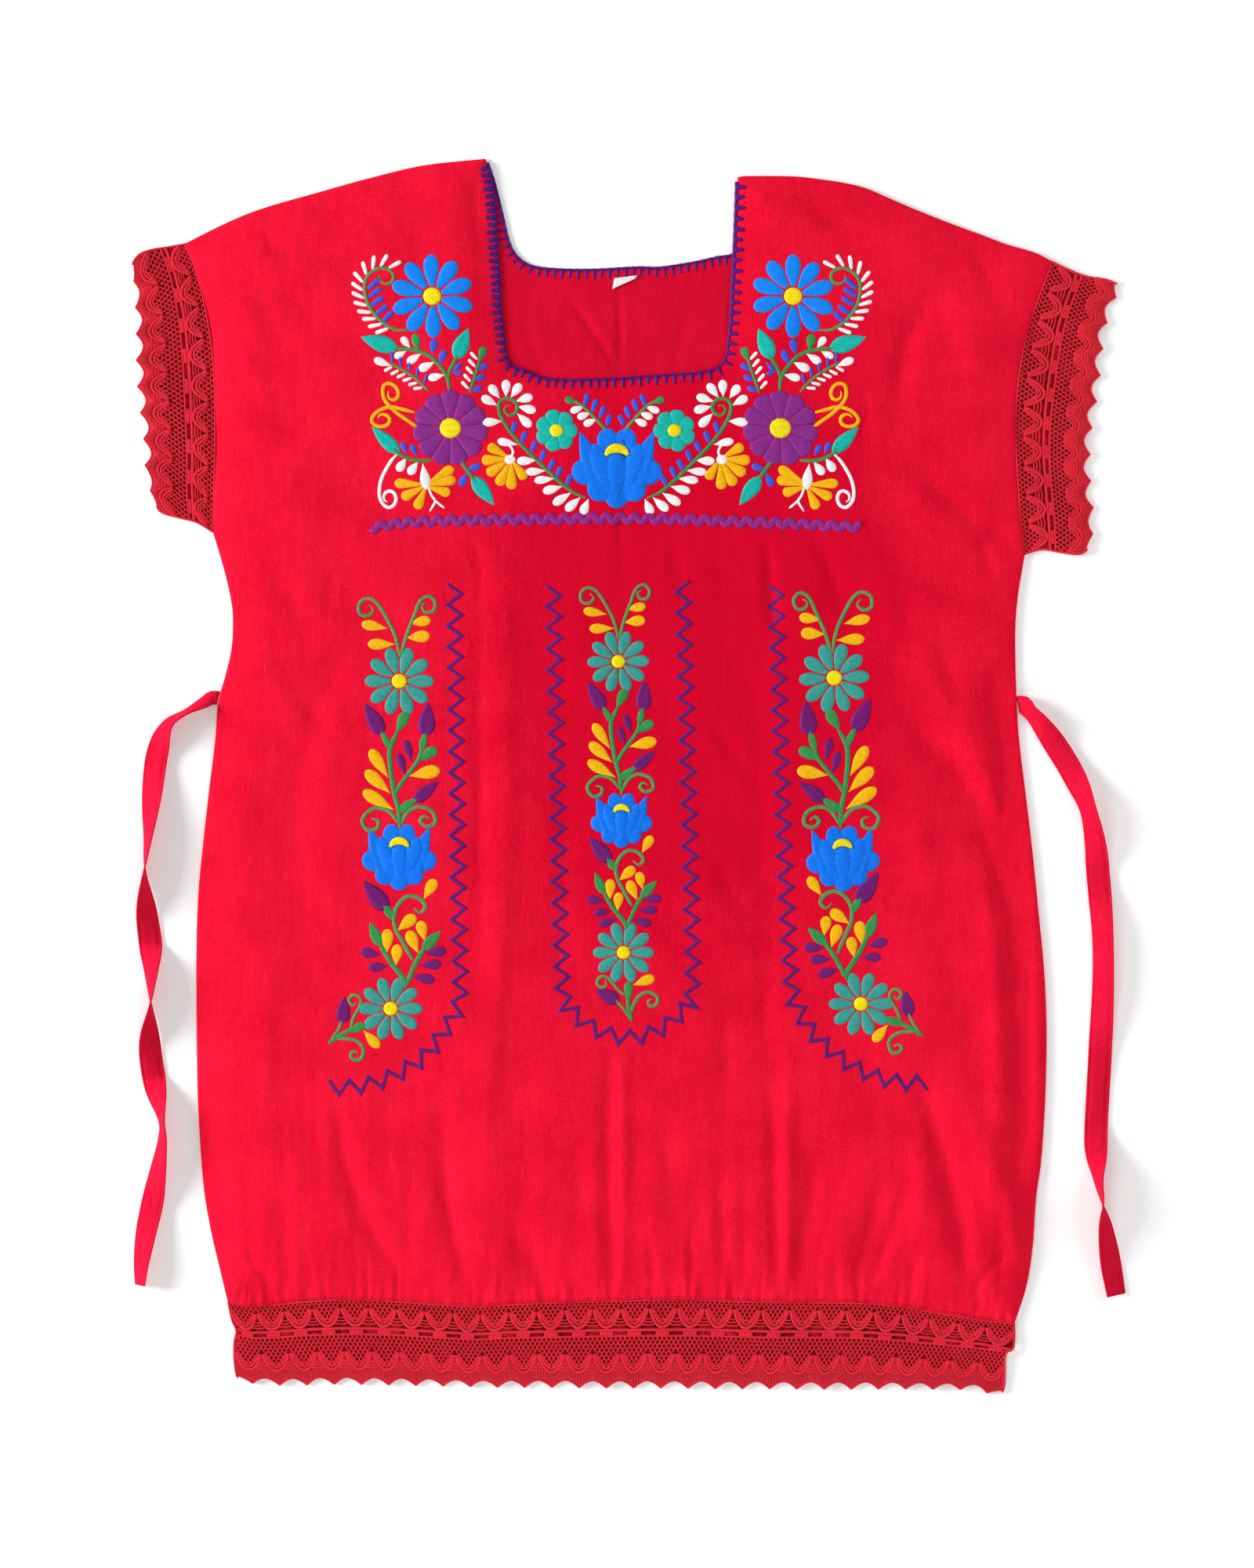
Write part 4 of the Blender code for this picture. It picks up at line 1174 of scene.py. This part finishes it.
def barb_width(t):
    return (0.68 + 0.32 * t) * np.sqrt(np.clip(1.0 - np.abs(2.0 * t - 1.0) ** 5, 0.0, 1.0))


SHAPES = {
    "petal": (petal_width, PAD_SECTION),
    "drop": (drop_width, PAD_SECTION),
    "leaf": (leaf_width, LEAF_SECTION),
    "bud": (bud_width, LEAF_SECTION),
    "fan": (fan_width, PAD_SECTION),
    "disc": (disc_width, PAD_SECTION),
    "barb": (barb_width, PAD_SECTION),
}
PAD_RISE = 0.52
STEM_RISE = 0.45
PLAIN = Place(0, 0)
PAD_SHARES = 0.5 * (1.0 - np.cos(math.pi * np.linspace(0.03, 0.985, 10)))


def put(place, points):
    """Pixels of the photograph from a motif's own pixels."""
    points = np.asarray(points, float) - (place.from_x, place.from_y)
    points = points * (place.flip, 1.0) * place.size
    turn = math.radians(place.turn)
    x = points[:, 0] * math.cos(turn) - points[:, 1] * math.sin(turn)
    y = points[:, 0] * math.sin(turn) + points[:, 1] * math.cos(turn)
    return np.column_stack([place.x + x + place.shear * y, place.y + y])


def sew_pad(piece, place, pad, rise=PAD_RISE, lift=0.0):
    """One pad of satin stitch from its base to its end."""
    ends = from_photo(put(place, ((pad.x, pad.y), (pad.end_x, pad.end_y))))
    width_of, section = SHAPES[pad.shape]
    line = ends[0] + PAD_SHARES[:, None] * (ends[1] - ends[0])
    half = 0.5 * pad.width * place.size * PIXEL * width_of(PAD_SHARES)
    piece.strip(line, half, rise, pad.look, front_top, section, lift=lift)


def sew_stem(piece, place, look, half_width, points):
    """A line of satin stitch through some points, narrower at both ends."""
    line = from_photo(smooth_line(put(place, points), 3.0))
    shares = np.linspace(0.0, 1.0, len(line))
    taper = np.clip(6.0 * np.minimum(shares + 0.08, 1.05 - shares), 0.35, 1.0)
    piece.strip(line, half_width * place.size * PIXEL * taper, STEM_RISE, look, front_top)


def sew_barbs(piece, place, barbs):
    """A row of small pads that stand off one side of a stem."""
    line = put(place, smooth_line(barbs.stem, 3.0))
    shares = np.linspace(barbs.first, barbs.last, barbs.count)
    runs = units(along(line, np.clip(shares + 0.02, 0, 1)) - along(line, np.clip(shares - 0.02, 0, 1)))
    lean = math.radians(barbs.lean)
    ways = barbs.side * place.flip * left_of(runs) * math.cos(lean) + runs * math.sin(lean)
    for foot, way in zip(along(line, shares), ways):
        start = foot + way * barbs.gap * place.size
        end = start + way * barbs.length * place.size
        pad = Pad(barbs.look, "barb", *start, *end, barbs.width * place.size)
        sew_pad(piece, PLAIN, pad)


def sew_daisy(piece, place, daisy, shape="petal", base=0.24):
    """A flower: petals round a raised disc."""
    for index in range(daisy.petals):
        angle = math.radians(daisy.first_angle + 360.0 * index / daisy.petals)
        way = np.array((math.cos(angle), -math.sin(angle)))
        start = (daisy.x, daisy.y) + way * daisy.radius * base
        end = (daisy.x, daisy.y) + way * daisy.radius
        sew_pad(piece, place, Pad(daisy.look, shape, *start, *end, daisy.width))
    r = daisy.disc_radius
    disc = Pad("yellow", "disc", daisy.x - r, daisy.y, daisy.x + r, daisy.y, 2.0 * r)
    sew_pad(piece, place, disc, rise=0.8, lift=0.1)


# Half of the lotus: shape, both ends, width and rise of each petal, from the lowest up
LOTUS_HALF = (
    ("petal", 6, -4, 14, -53, 29, 0.5), ("petal", 10, 12, 57, -2, 34, 0.55), ("petal", 5, 8, 33, 36, 31, 0.6),
    ("leaf", 14, 40, 47, -49, 33, 0.76), ("petal", 6, 38, 30, -33, 26, 0.86),
)
LOTUS_MIDDLE = (("petal", 0, 10, 0, 49, 30, 0.66), ("petal", 0, 42, 0, -22, 31, 1.05))
LOTUS_CRESCENT = pairs(-14.5, -18.5, -8.5, -25, 0, -27.5, 8.5, -25, 14.5, -18.5)
LOTUS_WIDTH = 110.0


def sew_lotus(piece, x, y, width, flip=1.0, turn=0.0):
    """The blue lotus: rounded petals below pointed ones, with a yellow crescent."""
    place = Place(x, y, width / LOTUS_WIDTH, turn, flip)
    halves = [(side, row) for row in LOTUS_HALF for side in (-1, 1)] + [(1, row) for row in LOTUS_MIDDLE]
    for side, (shape, start_x, start_y, end_x, end_y, wide, rise) in halves:
        pad = Pad("blue", shape, side * start_x, start_y, side * end_x, end_y, wide)
        sew_pad(piece, place, pad, rise)
    line = from_photo(put(place, smooth_line(LOTUS_CRESCENT, 3.0)))
    shares = np.linspace(0.0, 1.0, len(line))
    half = 6.2 * place.size * PIXEL * np.sin(math.pi * np.clip(shares, 0.04, 0.96)) ** 0.55
    piece.strip(line, half, 0.6, "yellow", front_top, lift=0.95)


CURL = pairs(
    521, 422, 507, 422, 494, 416, 484, 408, 475, 397, 469, 385, 466, 371, 467, 359, 473, 350, 483, 344,
    493, 344, 501, 349, 503, 356, 499, 362, 491, 363, 485, 358, 485, 352,
)
LONG_STEM = pairs(
    748, 636, 732, 629, 716, 617, 700, 602, 683, 586, 667, 570, 655, 556, 645, 542, 638, 528, 637, 516,
    643, 510, 653, 510, 660, 517, 659, 526, 651, 531, 644, 525, 647, 518, 653, 519,
)
TWIG = pairs(548, 501, 537, 489, 520, 476, 496, 463)
UPPER_TWIG = pairs(600, 502, 606, 482, 611, 466, 615, 452)
YOKE_STEMS = (
    ("moss", 2.1, CURL),
    ("green", 2.2, LONG_STEM),
    ("green", 2.4, pairs(574, 500, 571, 482, 560, 466, 545, 453, 525, 447, 500, 445)),
    ("green", 2.2, pairs(571, 484, 576, 470, 585, 454)),
    ("moss", 1.7, TWIG),
    ("green", 1.7, UPPER_TWIG),
    ("green", 2.3, pairs(500, 572, 513, 582, 530, 588, 552, 588)),
    ("green", 2.3, pairs(583, 582, 594, 597, 607, 615)),
    ("moss", 1.9, pairs(774, 550, 759, 534, 745, 520, 734, 513, 728, 511)),
    ("orange", 2.4, pairs(
        536, 548, 522, 538, 509, 529, 498, 519, 491, 510, 489, 500, 491, 492, 498, 490, 505, 494, 509, 502,
        507, 509, 501, 511, 496, 507, 496, 500,
    )),
    ("orange", 2.4, pairs(
        530, 527, 514, 523, 502, 520, 490, 522, 480, 528, 475, 536, 479, 543, 488, 545, 496, 542, 498, 535,
        493, 530, 486, 530, 483, 534,
    )),
    ("white", 2.3, pairs(
        508, 580, 501, 587, 494, 598, 488, 610, 485, 622, 485, 634, 489, 643, 496, 648, 503, 645, 506, 637,
        503, 629, 497, 627, 491, 631, 491, 638, 495, 641,
    )),
    ("white", 1.6, pairs(547, 622, 552, 634, 556, 640, 549, 653)),
    ("white", 1.6, pairs(553, 636, 559, 642, 568, 649)),
    ("white", 1.7, pairs(641, 562, 650, 568, 655, 577, 652, 585)),
)
YOKE_PADS = pads(
    ("teal", "leaf",
        (508, 446, 461, 431, 23), (582, 459, 598, 420, 22), (510, 579, 475, 545, 19),
        (603, 609, 631, 645, 20),
    ),
    ("green", "drop", (534, 450, 530, 427, 12), (613, 462, 618, 443, 11), (737, 515, 721, 509, 10)),
    ("white", "drop",
        (524, 445, 513, 431, 10), (519, 449, 504, 457, 10), (538, 452, 520, 464, 11),
        (555, 463, 535, 473, 12), (568, 479, 547, 484, 11), (500, 468, 478, 459, 11),
        (519, 585, 508, 602, 12), (534, 590, 522, 606, 12), (540, 592, 545, 625, 14),
        (641, 538, 616, 540, 12), (635, 518, 615, 507, 12), (638, 509, 625, 492, 12),
        (646, 507, 646, 485, 12), (652, 508, 665, 490, 12), (658, 513, 680, 506, 12),
        (661, 519, 684, 525, 12), (660, 528, 678, 545, 12), (661, 568, 635, 563, 11),
        (685, 588, 660, 589, 12), (697, 601, 671, 603, 11), (708, 611, 682, 614, 11),
        (718, 621, 693, 628, 12), (729, 629, 706, 644, 12), (741, 635, 722, 652, 12),
        (751, 637, 743, 657, 12), (746, 519, 728, 526, 10), (754, 527, 737, 534, 10),
        (762, 535, 745, 543, 10),
    ),
    ("sky", "drop",
        (552, 453, 555, 434, 11), (561, 466, 568, 448, 10), (591, 462, 580, 473, 6),
        (576, 474, 590, 478, 6), (609, 474, 622, 465, 8), (605, 487, 619, 480, 8), (601, 500, 615, 495, 8),
        (520, 580, 513, 565, 8), (533, 583, 525, 568, 8), (596, 601, 613, 594, 10),
        (596, 603, 588, 621, 10),
    ),
    ("orange", "fan",
        (543, 619, 504, 617, 14), (543, 621, 513, 636, 14), (544, 622, 532, 650, 14),
        (545, 619, 579, 597, 14), (546, 620, 582, 612, 14), (547, 622, 575, 630, 14),
        (649, 584, 623, 569, 14), (649, 586, 615, 588, 15), (649, 588, 622, 606, 15),
        (651, 590, 636, 620, 15), (653, 590, 653, 625, 15), (654, 588, 671, 612, 14),
    ),
    ("white", "disc", (644, 587, 658, 587, 13)),
    ("sky", "barb",
        (654, 553, 658, 539, 8), (666, 565, 671, 551, 8), (678, 577, 684, 564, 8), (690, 589, 695, 575, 8),
        (701, 600, 707, 587, 8), (711, 610, 716, 596, 8), (723, 620, 729, 606, 8), (746, 518, 750, 503, 8),
        (756, 526, 761, 510, 8), (766, 534, 771, 519, 8), (774, 544, 779, 530, 8), (470, 370, 485, 357, 8),
        (471, 380, 487, 369, 8), (474, 391, 490, 380, 8), (480, 402, 495, 391, 8), (489, 412, 501, 399, 8),
    ),
)
YOKE_BARBS = (
    Barbs("white", CURL, 0.13, 0.74, 12, -1.0, 2.8, 18.0, 6.2, 42.0),
    Barbs("white", TWIG, 0.12, 0.86, 6, -1.0, 3.2, 12.0, 5.0, 34.0),
    Barbs("sky", TWIG, 0.16, 0.9, 5, 1.0, 3.0, 12.5, 4.4, 34.0),
    Barbs("white", UPPER_TWIG, 0.05, 0.8, 5, -1.0, 3.4, 13.0, 5.2, 30.0),
)
YOKE_DAISIES = (
    Daisy(552, 379, 53, 10, 92, 20.5, "azure", 11.5),
    Daisy(710, 550, 27, 7, 0, 20.0, "teal", 8.6),
)
YOKE_MIDDLE = (785.0, 540.0)
YOKE_FLOWER = Daisy(575, 547, 48, 11, 90, 25.5, "purple", 13.5)


def sew_yoke():
    """The yoke: one half of the design, and the same turned over, with the lotus between them."""
    looks = ("azure", "sky", "teal", "green", "moss", "yellow", "orange", "purple", "white")
    for side, name in ((1.0, "yoke_embroidery_left"), (-1.0, "yoke_embroidery_right")):
        piece = Piece(name, looks)
        shear = 0.0 if side > 0 else 0.04
        place = Place(*YOKE_MIDDLE, 1.0, 0.0, side, shear, *YOKE_MIDDLE)
        for stem in YOKE_STEMS:
            sew_stem(piece, place, *stem)
        for barbs in YOKE_BARBS:
            sew_barbs(piece, place, barbs)
        for daisy in YOKE_DAISIES:
            sew_daisy(piece, place, daisy)
        sew_daisy(piece, place, YOKE_FLOWER, "fan", 0.2)
        for pad in YOKE_PADS:
            sew_pad(piece, place, pad)
        piece.made("embroidery_thread")
    piece = Piece("yoke_embroidery_lotus", ("blue", "yellow"))
    sew_lotus(piece, 787.0, 600.0, 110.0)
    piece.made("embroidery_thread")


TOP_STEMS = (
    ("moss", 2.3, pairs(
        511, 838, 505, 812, 493, 787, 480, 768, 468, 764, 459, 771, 460, 783, 470, 786, 477, 779, 472, 772,
    )),
    ("moss", 2.3, pairs(
        512, 838, 519, 812, 529, 786, 537, 767, 548, 761, 556, 769, 553, 780, 543, 781, 539, 773, 545, 769,
    )),
    ("green", 3, pairs(508, 933, 499, 953, 498, 972, 503, 1008, 509, 1032, 511, 1058)),
    ("green", 2.6, pairs(504, 1014, 512, 1000, 524, 984, 535, 968, 540, 950)),
    ("moss", 2.5, pairs(
        509, 1050, 497, 1035, 478, 1031, 463, 1045, 470, 1059, 482, 1056, 483, 1047, 475, 1044,
    )),
    ("moss", 2.5, pairs(
        512, 1052, 521, 1036, 535, 1029, 552, 1035, 556, 1049, 545, 1054, 537, 1047, 542, 1041, 549, 1045,
    )),
)
TOP_PADS = pads(
    ("gold", "drop",
        (495, 802, 462, 796, 14), (505, 822, 470, 822, 15), (523, 796, 550, 791, 14),
        (519, 814, 549, 811, 16), (496, 992, 473, 956, 16), (499, 1012, 467, 983, 17),
        (503, 1033, 464, 1009, 17), (523, 990, 562, 982, 18),
    ),
    ("plum", "bud", (488, 936, 466, 897, 22), (544, 938, 547, 897, 23), (530, 1021, 560, 997, 18)),
    ("green", "leaf", (500, 957, 485, 929, 9), (538, 958, 544, 931, 10), (509, 1036, 534, 1017, 12)),
    ("green", "drop", (506, 936, 520, 908, 15), (531, 971, 558, 955, 15)),
    ("plum", "drop", (526, 972, 518, 944, 11), (518, 989, 509, 961, 11)),
)
BUSH_STEMS = (
    ("green", 2.8, pairs(798, 1186, 798, 1178, 782, 1157, 770, 1137)),
    ("green", 2.6, pairs(799, 1184, 810, 1159, 821, 1140)),
    ("moss", 2.4, pairs(
        807, 1156, 795, 1134, 788, 1121, 786, 1107, 790, 1095, 801, 1085, 814, 1087, 821, 1096, 815, 1103,
        808, 1098,
    )),
)
BUSH_PADS = pads(
    ("green", "leaf", (771, 1140, 759, 1113, 13), (818, 1144, 838, 1123, 13), (785, 1110, 774, 1092, 10)),
    ("plum", "bud", (778, 1099, 752, 1068, 21)),
    ("gold", "drop",
        (819, 1088, 832, 1066, 13), (790, 1123, 810, 1106, 14), (820, 1134, 815, 1112, 13),
        (813, 1148, 802, 1123, 14), (778, 1148, 779, 1121, 14), (788, 1162, 790, 1138, 13),
    ),
    ("plum", "drop",
        (772, 1150, 749, 1146, 12), (780, 1162, 758, 1164, 11), (820, 1148, 844, 1145, 12),
        (814, 1161, 838, 1160, 12), (806, 1173, 831, 1178, 12),
    ),
)
LOW_LEFT_DROP = Pad("plum", "drop", 787, 1172, 764, 1179, 12)
TAIL_STEMS = (
    ("green", 2.8, pairs(801, 1262, 802, 1284, 806, 1303)),
    ("moss", 2.1, pairs(
        799, 1270, 788, 1261, 780, 1251, 773, 1245, 765, 1246, 762, 1253, 767, 1259, 774, 1256, 772, 1250,
    )),
    ("moss", 1.9, pairs(786, 1276, 795, 1285, 803, 1297)),
    ("moss", 2.3, pairs(
        804, 1293, 810, 1278, 818, 1268, 829, 1265, 839, 1272, 837, 1281, 830, 1283, 827, 1277, 832, 1273,
    )),
)
TAIL_PADS = pads(
    ("green", "drop", (802, 1278, 802, 1251, 12)),
    ("plum", "bud", (789, 1277, 760, 1262, 19)),
    ("gold", "drop", (808, 1256, 835, 1246, 14)),
)
# Where the parts of a spray hang from, in its own pixels: the fork, the bush and the tail
FORK, BUSH, TAIL = (510, 869), (798.8, 1180.5), (795.6, 1214.6)
COLUMN_PLACES = (
    Column("left", Place(510, 869, 1.0, 0, 1, 0, *FORK), (510, 1095, 91, 1, 0),
           Place(518, 1253, 1.15, 0, 1, 0, *BUSH), (499, 1286, 41),
           Place(499, 1286, 1.02, 67.6, 1, 0, *TAIL), True),
    Column("middle", Place(789, 844, 0.9, -1.1, 1, 0, *FORK), (793, 1048, 75, 1, 0),
           Place(*BUSH, 1.0, 0, 1, 0, *BUSH), (*TAIL, 39),
           Place(*TAIL, 1.0, 0, 1, 0, *TAIL), False),
    Column("right", Place(1064, 865, 1.02, -2.7, -1, 0, *FORK), (1075, 1097, 90, -1, -2),
           Place(1079.2, 1243, 1.12, -5, -1, 0, *BUSH), (1098, 1280, 41),
           Place(1098, 1280, 1.0, -69.5, -1, 0, *TAIL), True),
)


def sew_columns():
    """Three upright sprays: a fork with a daisy, a lotus, a bush, and a flower with its tail."""
    looks = ("blue", "sea", "green", "moss", "yellow", "gold", "plum")
    for column in COLUMN_PLACES:
        piece = Piece("column_embroidery_" + column.name, looks)
        parts = (
            (column.top, TOP_STEMS, TOP_PADS), (column.bush, BUSH_STEMS, BUSH_PADS),
            (column.tail, TAIL_STEMS, TAIL_PADS),
        )
        for place, stems, leaves in parts:
            for stem in stems:
                sew_stem(piece, place, *stem)
            for pad in leaves:
                sew_pad(piece, place, pad)
        if not column.plain_left:
            sew_pad(piece, column.bush, LOW_LEFT_DROP)
        sew_daisy(piece, column.top, Daisy(510, 869, 44, 10, 0, 17.0, "sea", 9.6))
        x, y, radius = column.flower
        sew_daisy(piece, PLAIN, Daisy(x, y, radius, 10, 0, 0.39 * radius, "sea", 0.22 * radius))
        sew_lotus(piece, *column.lotus)
        piece.made("embroidery_thread")


ZIGZAGS = (
    pairs(
        580, 745, 585, 1138, 587, 1270, 576, 1300, 563, 1320, 547, 1342, 525, 1359, 502, 1372, 476, 1381,
        449, 1386, 420, 1386,
    ),
    pairs(
        706, 747, 712, 1060, 718, 1262, 726, 1284, 743, 1302, 768, 1316, 797, 1323, 826, 1319, 852, 1306,
        871, 1287, 883, 1264, 879, 1050, 871, 742,
    ),
    pairs(
        989, 747, 1000, 1084, 1009, 1255, 1017, 1285, 1028, 1306, 1048, 1330, 1078, 1354, 1100, 1366,
        1124, 1375, 1150, 1380, 1182, 1380,
    ),
)
ZIGZAG_PERIOD = 26.7
ZIGZAG_REACH = 9.0
ZIGZAG_HALF = 2.5


def sew_zigzags():
    """The zigzag lines beside the columns, in one satin line each."""
    piece = Piece("zigzag_lines", ("mulberry",))
    for rows in ZIGZAGS:
        line = smooth_line(rows, 6.0)
        count = 2 * round(length_of(line) / ZIGZAG_PERIOD)
        centres = along(line, np.linspace(0.0, 1.0, count + 1))
        signs = np.where(np.arange(count + 1) % 2 == 0, 1.0, -1.0)
        corners = centres + ZIGZAG_REACH * signs[:, None] * left_of(ways_of(centres))
        points = []
        for start, end in zip(corners, corners[1:]):
            points += [start + (end - start) * t for t in (0.0, 0.12, 0.5, 0.88)]
        points.append(corners[-1])
        piece.strip(from_photo(points), ZIGZAG_HALF * PIXEL, 0.42, "mulberry", front_top, mitre=True)
    piece.made("embroidery_thread")


WAVY_LINE = pairs(
    474, 674, 510, 668, 560, 665, 620, 664, 700, 663, 785, 662, 860, 663, 940, 666, 1000, 668, 1050, 671,
    1098, 673,
)
WAVY_PERIOD = 17.9
WAVY_REACH = 4.0
WAVY_HALF = 5.0
WAVY_STEP = 1.9


def sew_wavy_band():
    """The wavy band under the yoke."""
    piece = Piece("wavy_band", ("mauve",))
    line = smooth_line(WAVY_LINE, 2.0)
    count = int(length_of(line) / WAVY_STEP)
    points = along(line, np.linspace(0.0, 1.0, count))
    phase = 2 * math.pi * np.arange(count) * length_of(line) / count / WAVY_PERIOD
    wave = np.arcsin(0.93 * np.sin(phase)) / math.asin(0.93)
    points[:, 1] += WAVY_REACH * wave
    piece.strip(from_photo(points), WAVY_HALF * PIXEL, 0.75, "mauve", front_top)
    piece.made("embroidery_thread")


# Spacing of the stitches along each neck, from its right shoulder to its left one
STITCH_PITCH = {"front": (7.1, 7.1, 5.8, 5.6, 4.9, 4.9), "back": (5.3, 5.3, 5.3, 5.3, 5.3, 5.3)}
STITCH_LEG = 5.4
STITCH_HALF = 1.08
STITCH_SHARE = {"front": 1.02, "back": 0.66}
BEAD_RADIUS = 0.95


def up_the_sides(height):
    """0 along the front neck's bottom and 1 up its sides, where the stitches are bolder."""
    return np.clip((height - 285.0) / 40.0, 0.0, 1.0)


def sew_neck(side, neck, ground, edge_height):
    """Blanket stitch: a bead that wraps the edge, with a leg to each stitch on the cloth."""
    piece = Piece(side + "_neck_stitching", ("violet",))
    edge = smooth_line(neck, 1.6)[2:-2]
    steps = np.linspace(0.0, 1.0, 400)
    pitch = np.interp(steps, np.linspace(0.0, 1.0, 6), STITCH_PITCH[side])
    passed = np.concatenate([[0.0], np.cumsum(length_of(edge) * np.diff(steps) / pitch[1:])])
    shares = np.interp(np.arange(int(passed[-1])) + 0.5, passed, steps)
    thickness = STITCH_SHARE[side]
    wobble = 1.0 + 0.12 * np.sin(2 * math.pi * np.arange(len(edge)) * 1.6 / pitch[0])
    wobble *= 0.9 + 0.5 * up_the_sides(edge[:, 1])
    radius = BEAD_RADIUS * thickness
    circle = [(math.cos(a), math.sin(a)) for a in np.linspace(math.pi, -math.pi, 8, endpoint=False)]

    def bead_ground(points):
        return np.repeat(edge_height(edge), len(circle))

    piece.strip(moved_in(edge, -0.4), radius * wobble, radius, "violet", bead_ground, circle)
    for k, share in enumerate(shares):
        foot = along(edge, [share])[0]
        bold = 1.0 + 0.35 * up_the_sides(foot[1])
        before, after = along(edge, np.clip((share - 0.004, share + 0.004), 0.0, 1.0))
        run = units((after - before)[None])
        way = left_of(run)[0] + 0.10 * math.sin(5.1 * k) * run[0]
        length = STITCH_LEG * (1.0 + 0.10 * math.sin(3.3 * k + 1.0))
        line = foot + np.linspace(0.0, 1.0, 7)[:, None] * way * length
        half = thickness * bold * STITCH_HALF * np.array((1.5, 1.25, 1.1, 1.0, 1.0, 0.95, 0.6))
        piece.strip(line, half, 0.75 * thickness, "violet", ground)
    piece.made("violet_thread", side + "_neck_edging")


SEAM_INSET = 1.9
SEAM_PITCH = 2.9


def sew_seams():
    """The row of small stitches on the cloth above the hem lace, drawn darker than the cloth: real stitches
    whose darkness is painted shade for the dark dots between the gathers at the seam.
    """
    piece = Piece("shaded_seam_stitches", ("seam",))
    line = moved_in(smooth_line(HEM_SEAM, 2.0), SEAM_INSET)
    count = int(length_of(line) / SEAM_PITCH)
    for k in range(1, count - 1):
        ends = along(line, np.array((k, k + 0.33, k + 0.66)) / count)
        piece.strip(ends, 0.34, 0.22, "seam", front_top, ROUND_SECTION)
    piece.made("red_cotton")


# Stage


def link(name, data):
    made = bpy.data.objects.new(name, data)
    bpy.context.scene.collection.objects.link(made)
    return made


def light(name, place, aim, size, power):
    data = bpy.data.lights.new(name, "AREA")
    data.shape = "DISK"
    data.size = size
    data.energy = power
    made = link(name, data)
    made.location = place
    made.rotation_euler = (Vector(aim) - Vector(place)).to_track_quat("-Z", "Y").to_euler()


# In metres
FLOOR_REACH = 4.0
FLOOR_HEIGHT = -0.0003
CAMERA_HEIGHT = 3.2
WORLD_LIGHT = 0.27
# Each soft lamp: name, place, aim and size in metres, and power in watts
LAMPS = (
    ("left_lamp", (-3.0, 0.5, 1.15), (0.0, 0.0, 0.0), 1.5, 140.0),
    ("right_lamp", (1.0, 0.1, 0.5), (0.15, 0.0, 0.0), 0.5, 3.2),
    ("near_lamp", (-0.1, -1.2, 0.6), (0.0, -0.2, 0.0), 0.5, 4.9),
    ("far_lamp", (0.15, 1.3, 0.8), (0.0, 0.2, 0.0), 0.8, 3.2),
)
PHOTO_SIZE = (1600.0, 2000.0)
SENSOR = 36.0


def build_stage():
    """A pale floor with a faint painted glow, soft light from all round, stronger from the left, and the
    camera.
    """
    data = bpy.data.meshes.new("floor")
    sides = ((-1, -1), (1, -1), (1, 1), (-1, 1))
    corners = [(x * FLOOR_REACH, y * FLOOR_REACH, FLOOR_HEIGHT) for x, y in sides]
    data.from_pydata(corners, [], [(0, 1, 2, 3)])
    data.materials.append(paper_floor())
    link("floor", data)

    world = bpy.data.worlds.new("studio")
    world.use_nodes = True
    background = world.node_tree.nodes["Background"]
    background.inputs["Color"].default_value = (1.0, 1.0, 1.0, 1.0)
    background.inputs["Strength"].default_value = WORLD_LIGHT
    bpy.context.scene.world = world
    bpy.context.scene.view_settings.view_transform = "Standard"
    for lamp in LAMPS:
        light(*lamp)

    camera = link("camera", bpy.data.cameras.new("camera"))
    middle = from_photo([np.array(PHOTO_SIZE) / 2])[0] * MILLIMETRE
    camera.location = (*middle, CAMERA_HEIGHT)
    camera.data.sensor_fit = "VERTICAL"
    camera.data.sensor_height = SENSOR
    camera.data.lens = SENSOR * CAMERA_HEIGHT / (PHOTO_SIZE[1] * PIXEL * MILLIMETRE)
    camera.data.clip_end = 20.0
    bpy.context.scene.camera = camera


def back_edge_height(points):
    return np.full(len(points), BEAD_RADIUS)


def front_edge_height(points):
    return front_bottom(points) + 0.5 * CLOTH_WALL


def build():
    build_front()
    build_back()
    build_tie("left_tie_cloth", LEFT_TIE, "left_tie")
    build_tie("right_tie_cloth", RIGHT_TIE, "right_tie")
    build_label()
    build_lace("hem")
    build_lace("left_cuff")
    build_lace("right_cuff")
    sew_yoke()
    sew_columns()
    sew_zigzags()
    sew_wavy_band()
    sew_neck("front", FRONT_NECK, front_top, front_edge_height)
    sew_neck("back", BACK_NECK, back_top, back_edge_height)
    sew_seams()
    build_stage()


build()
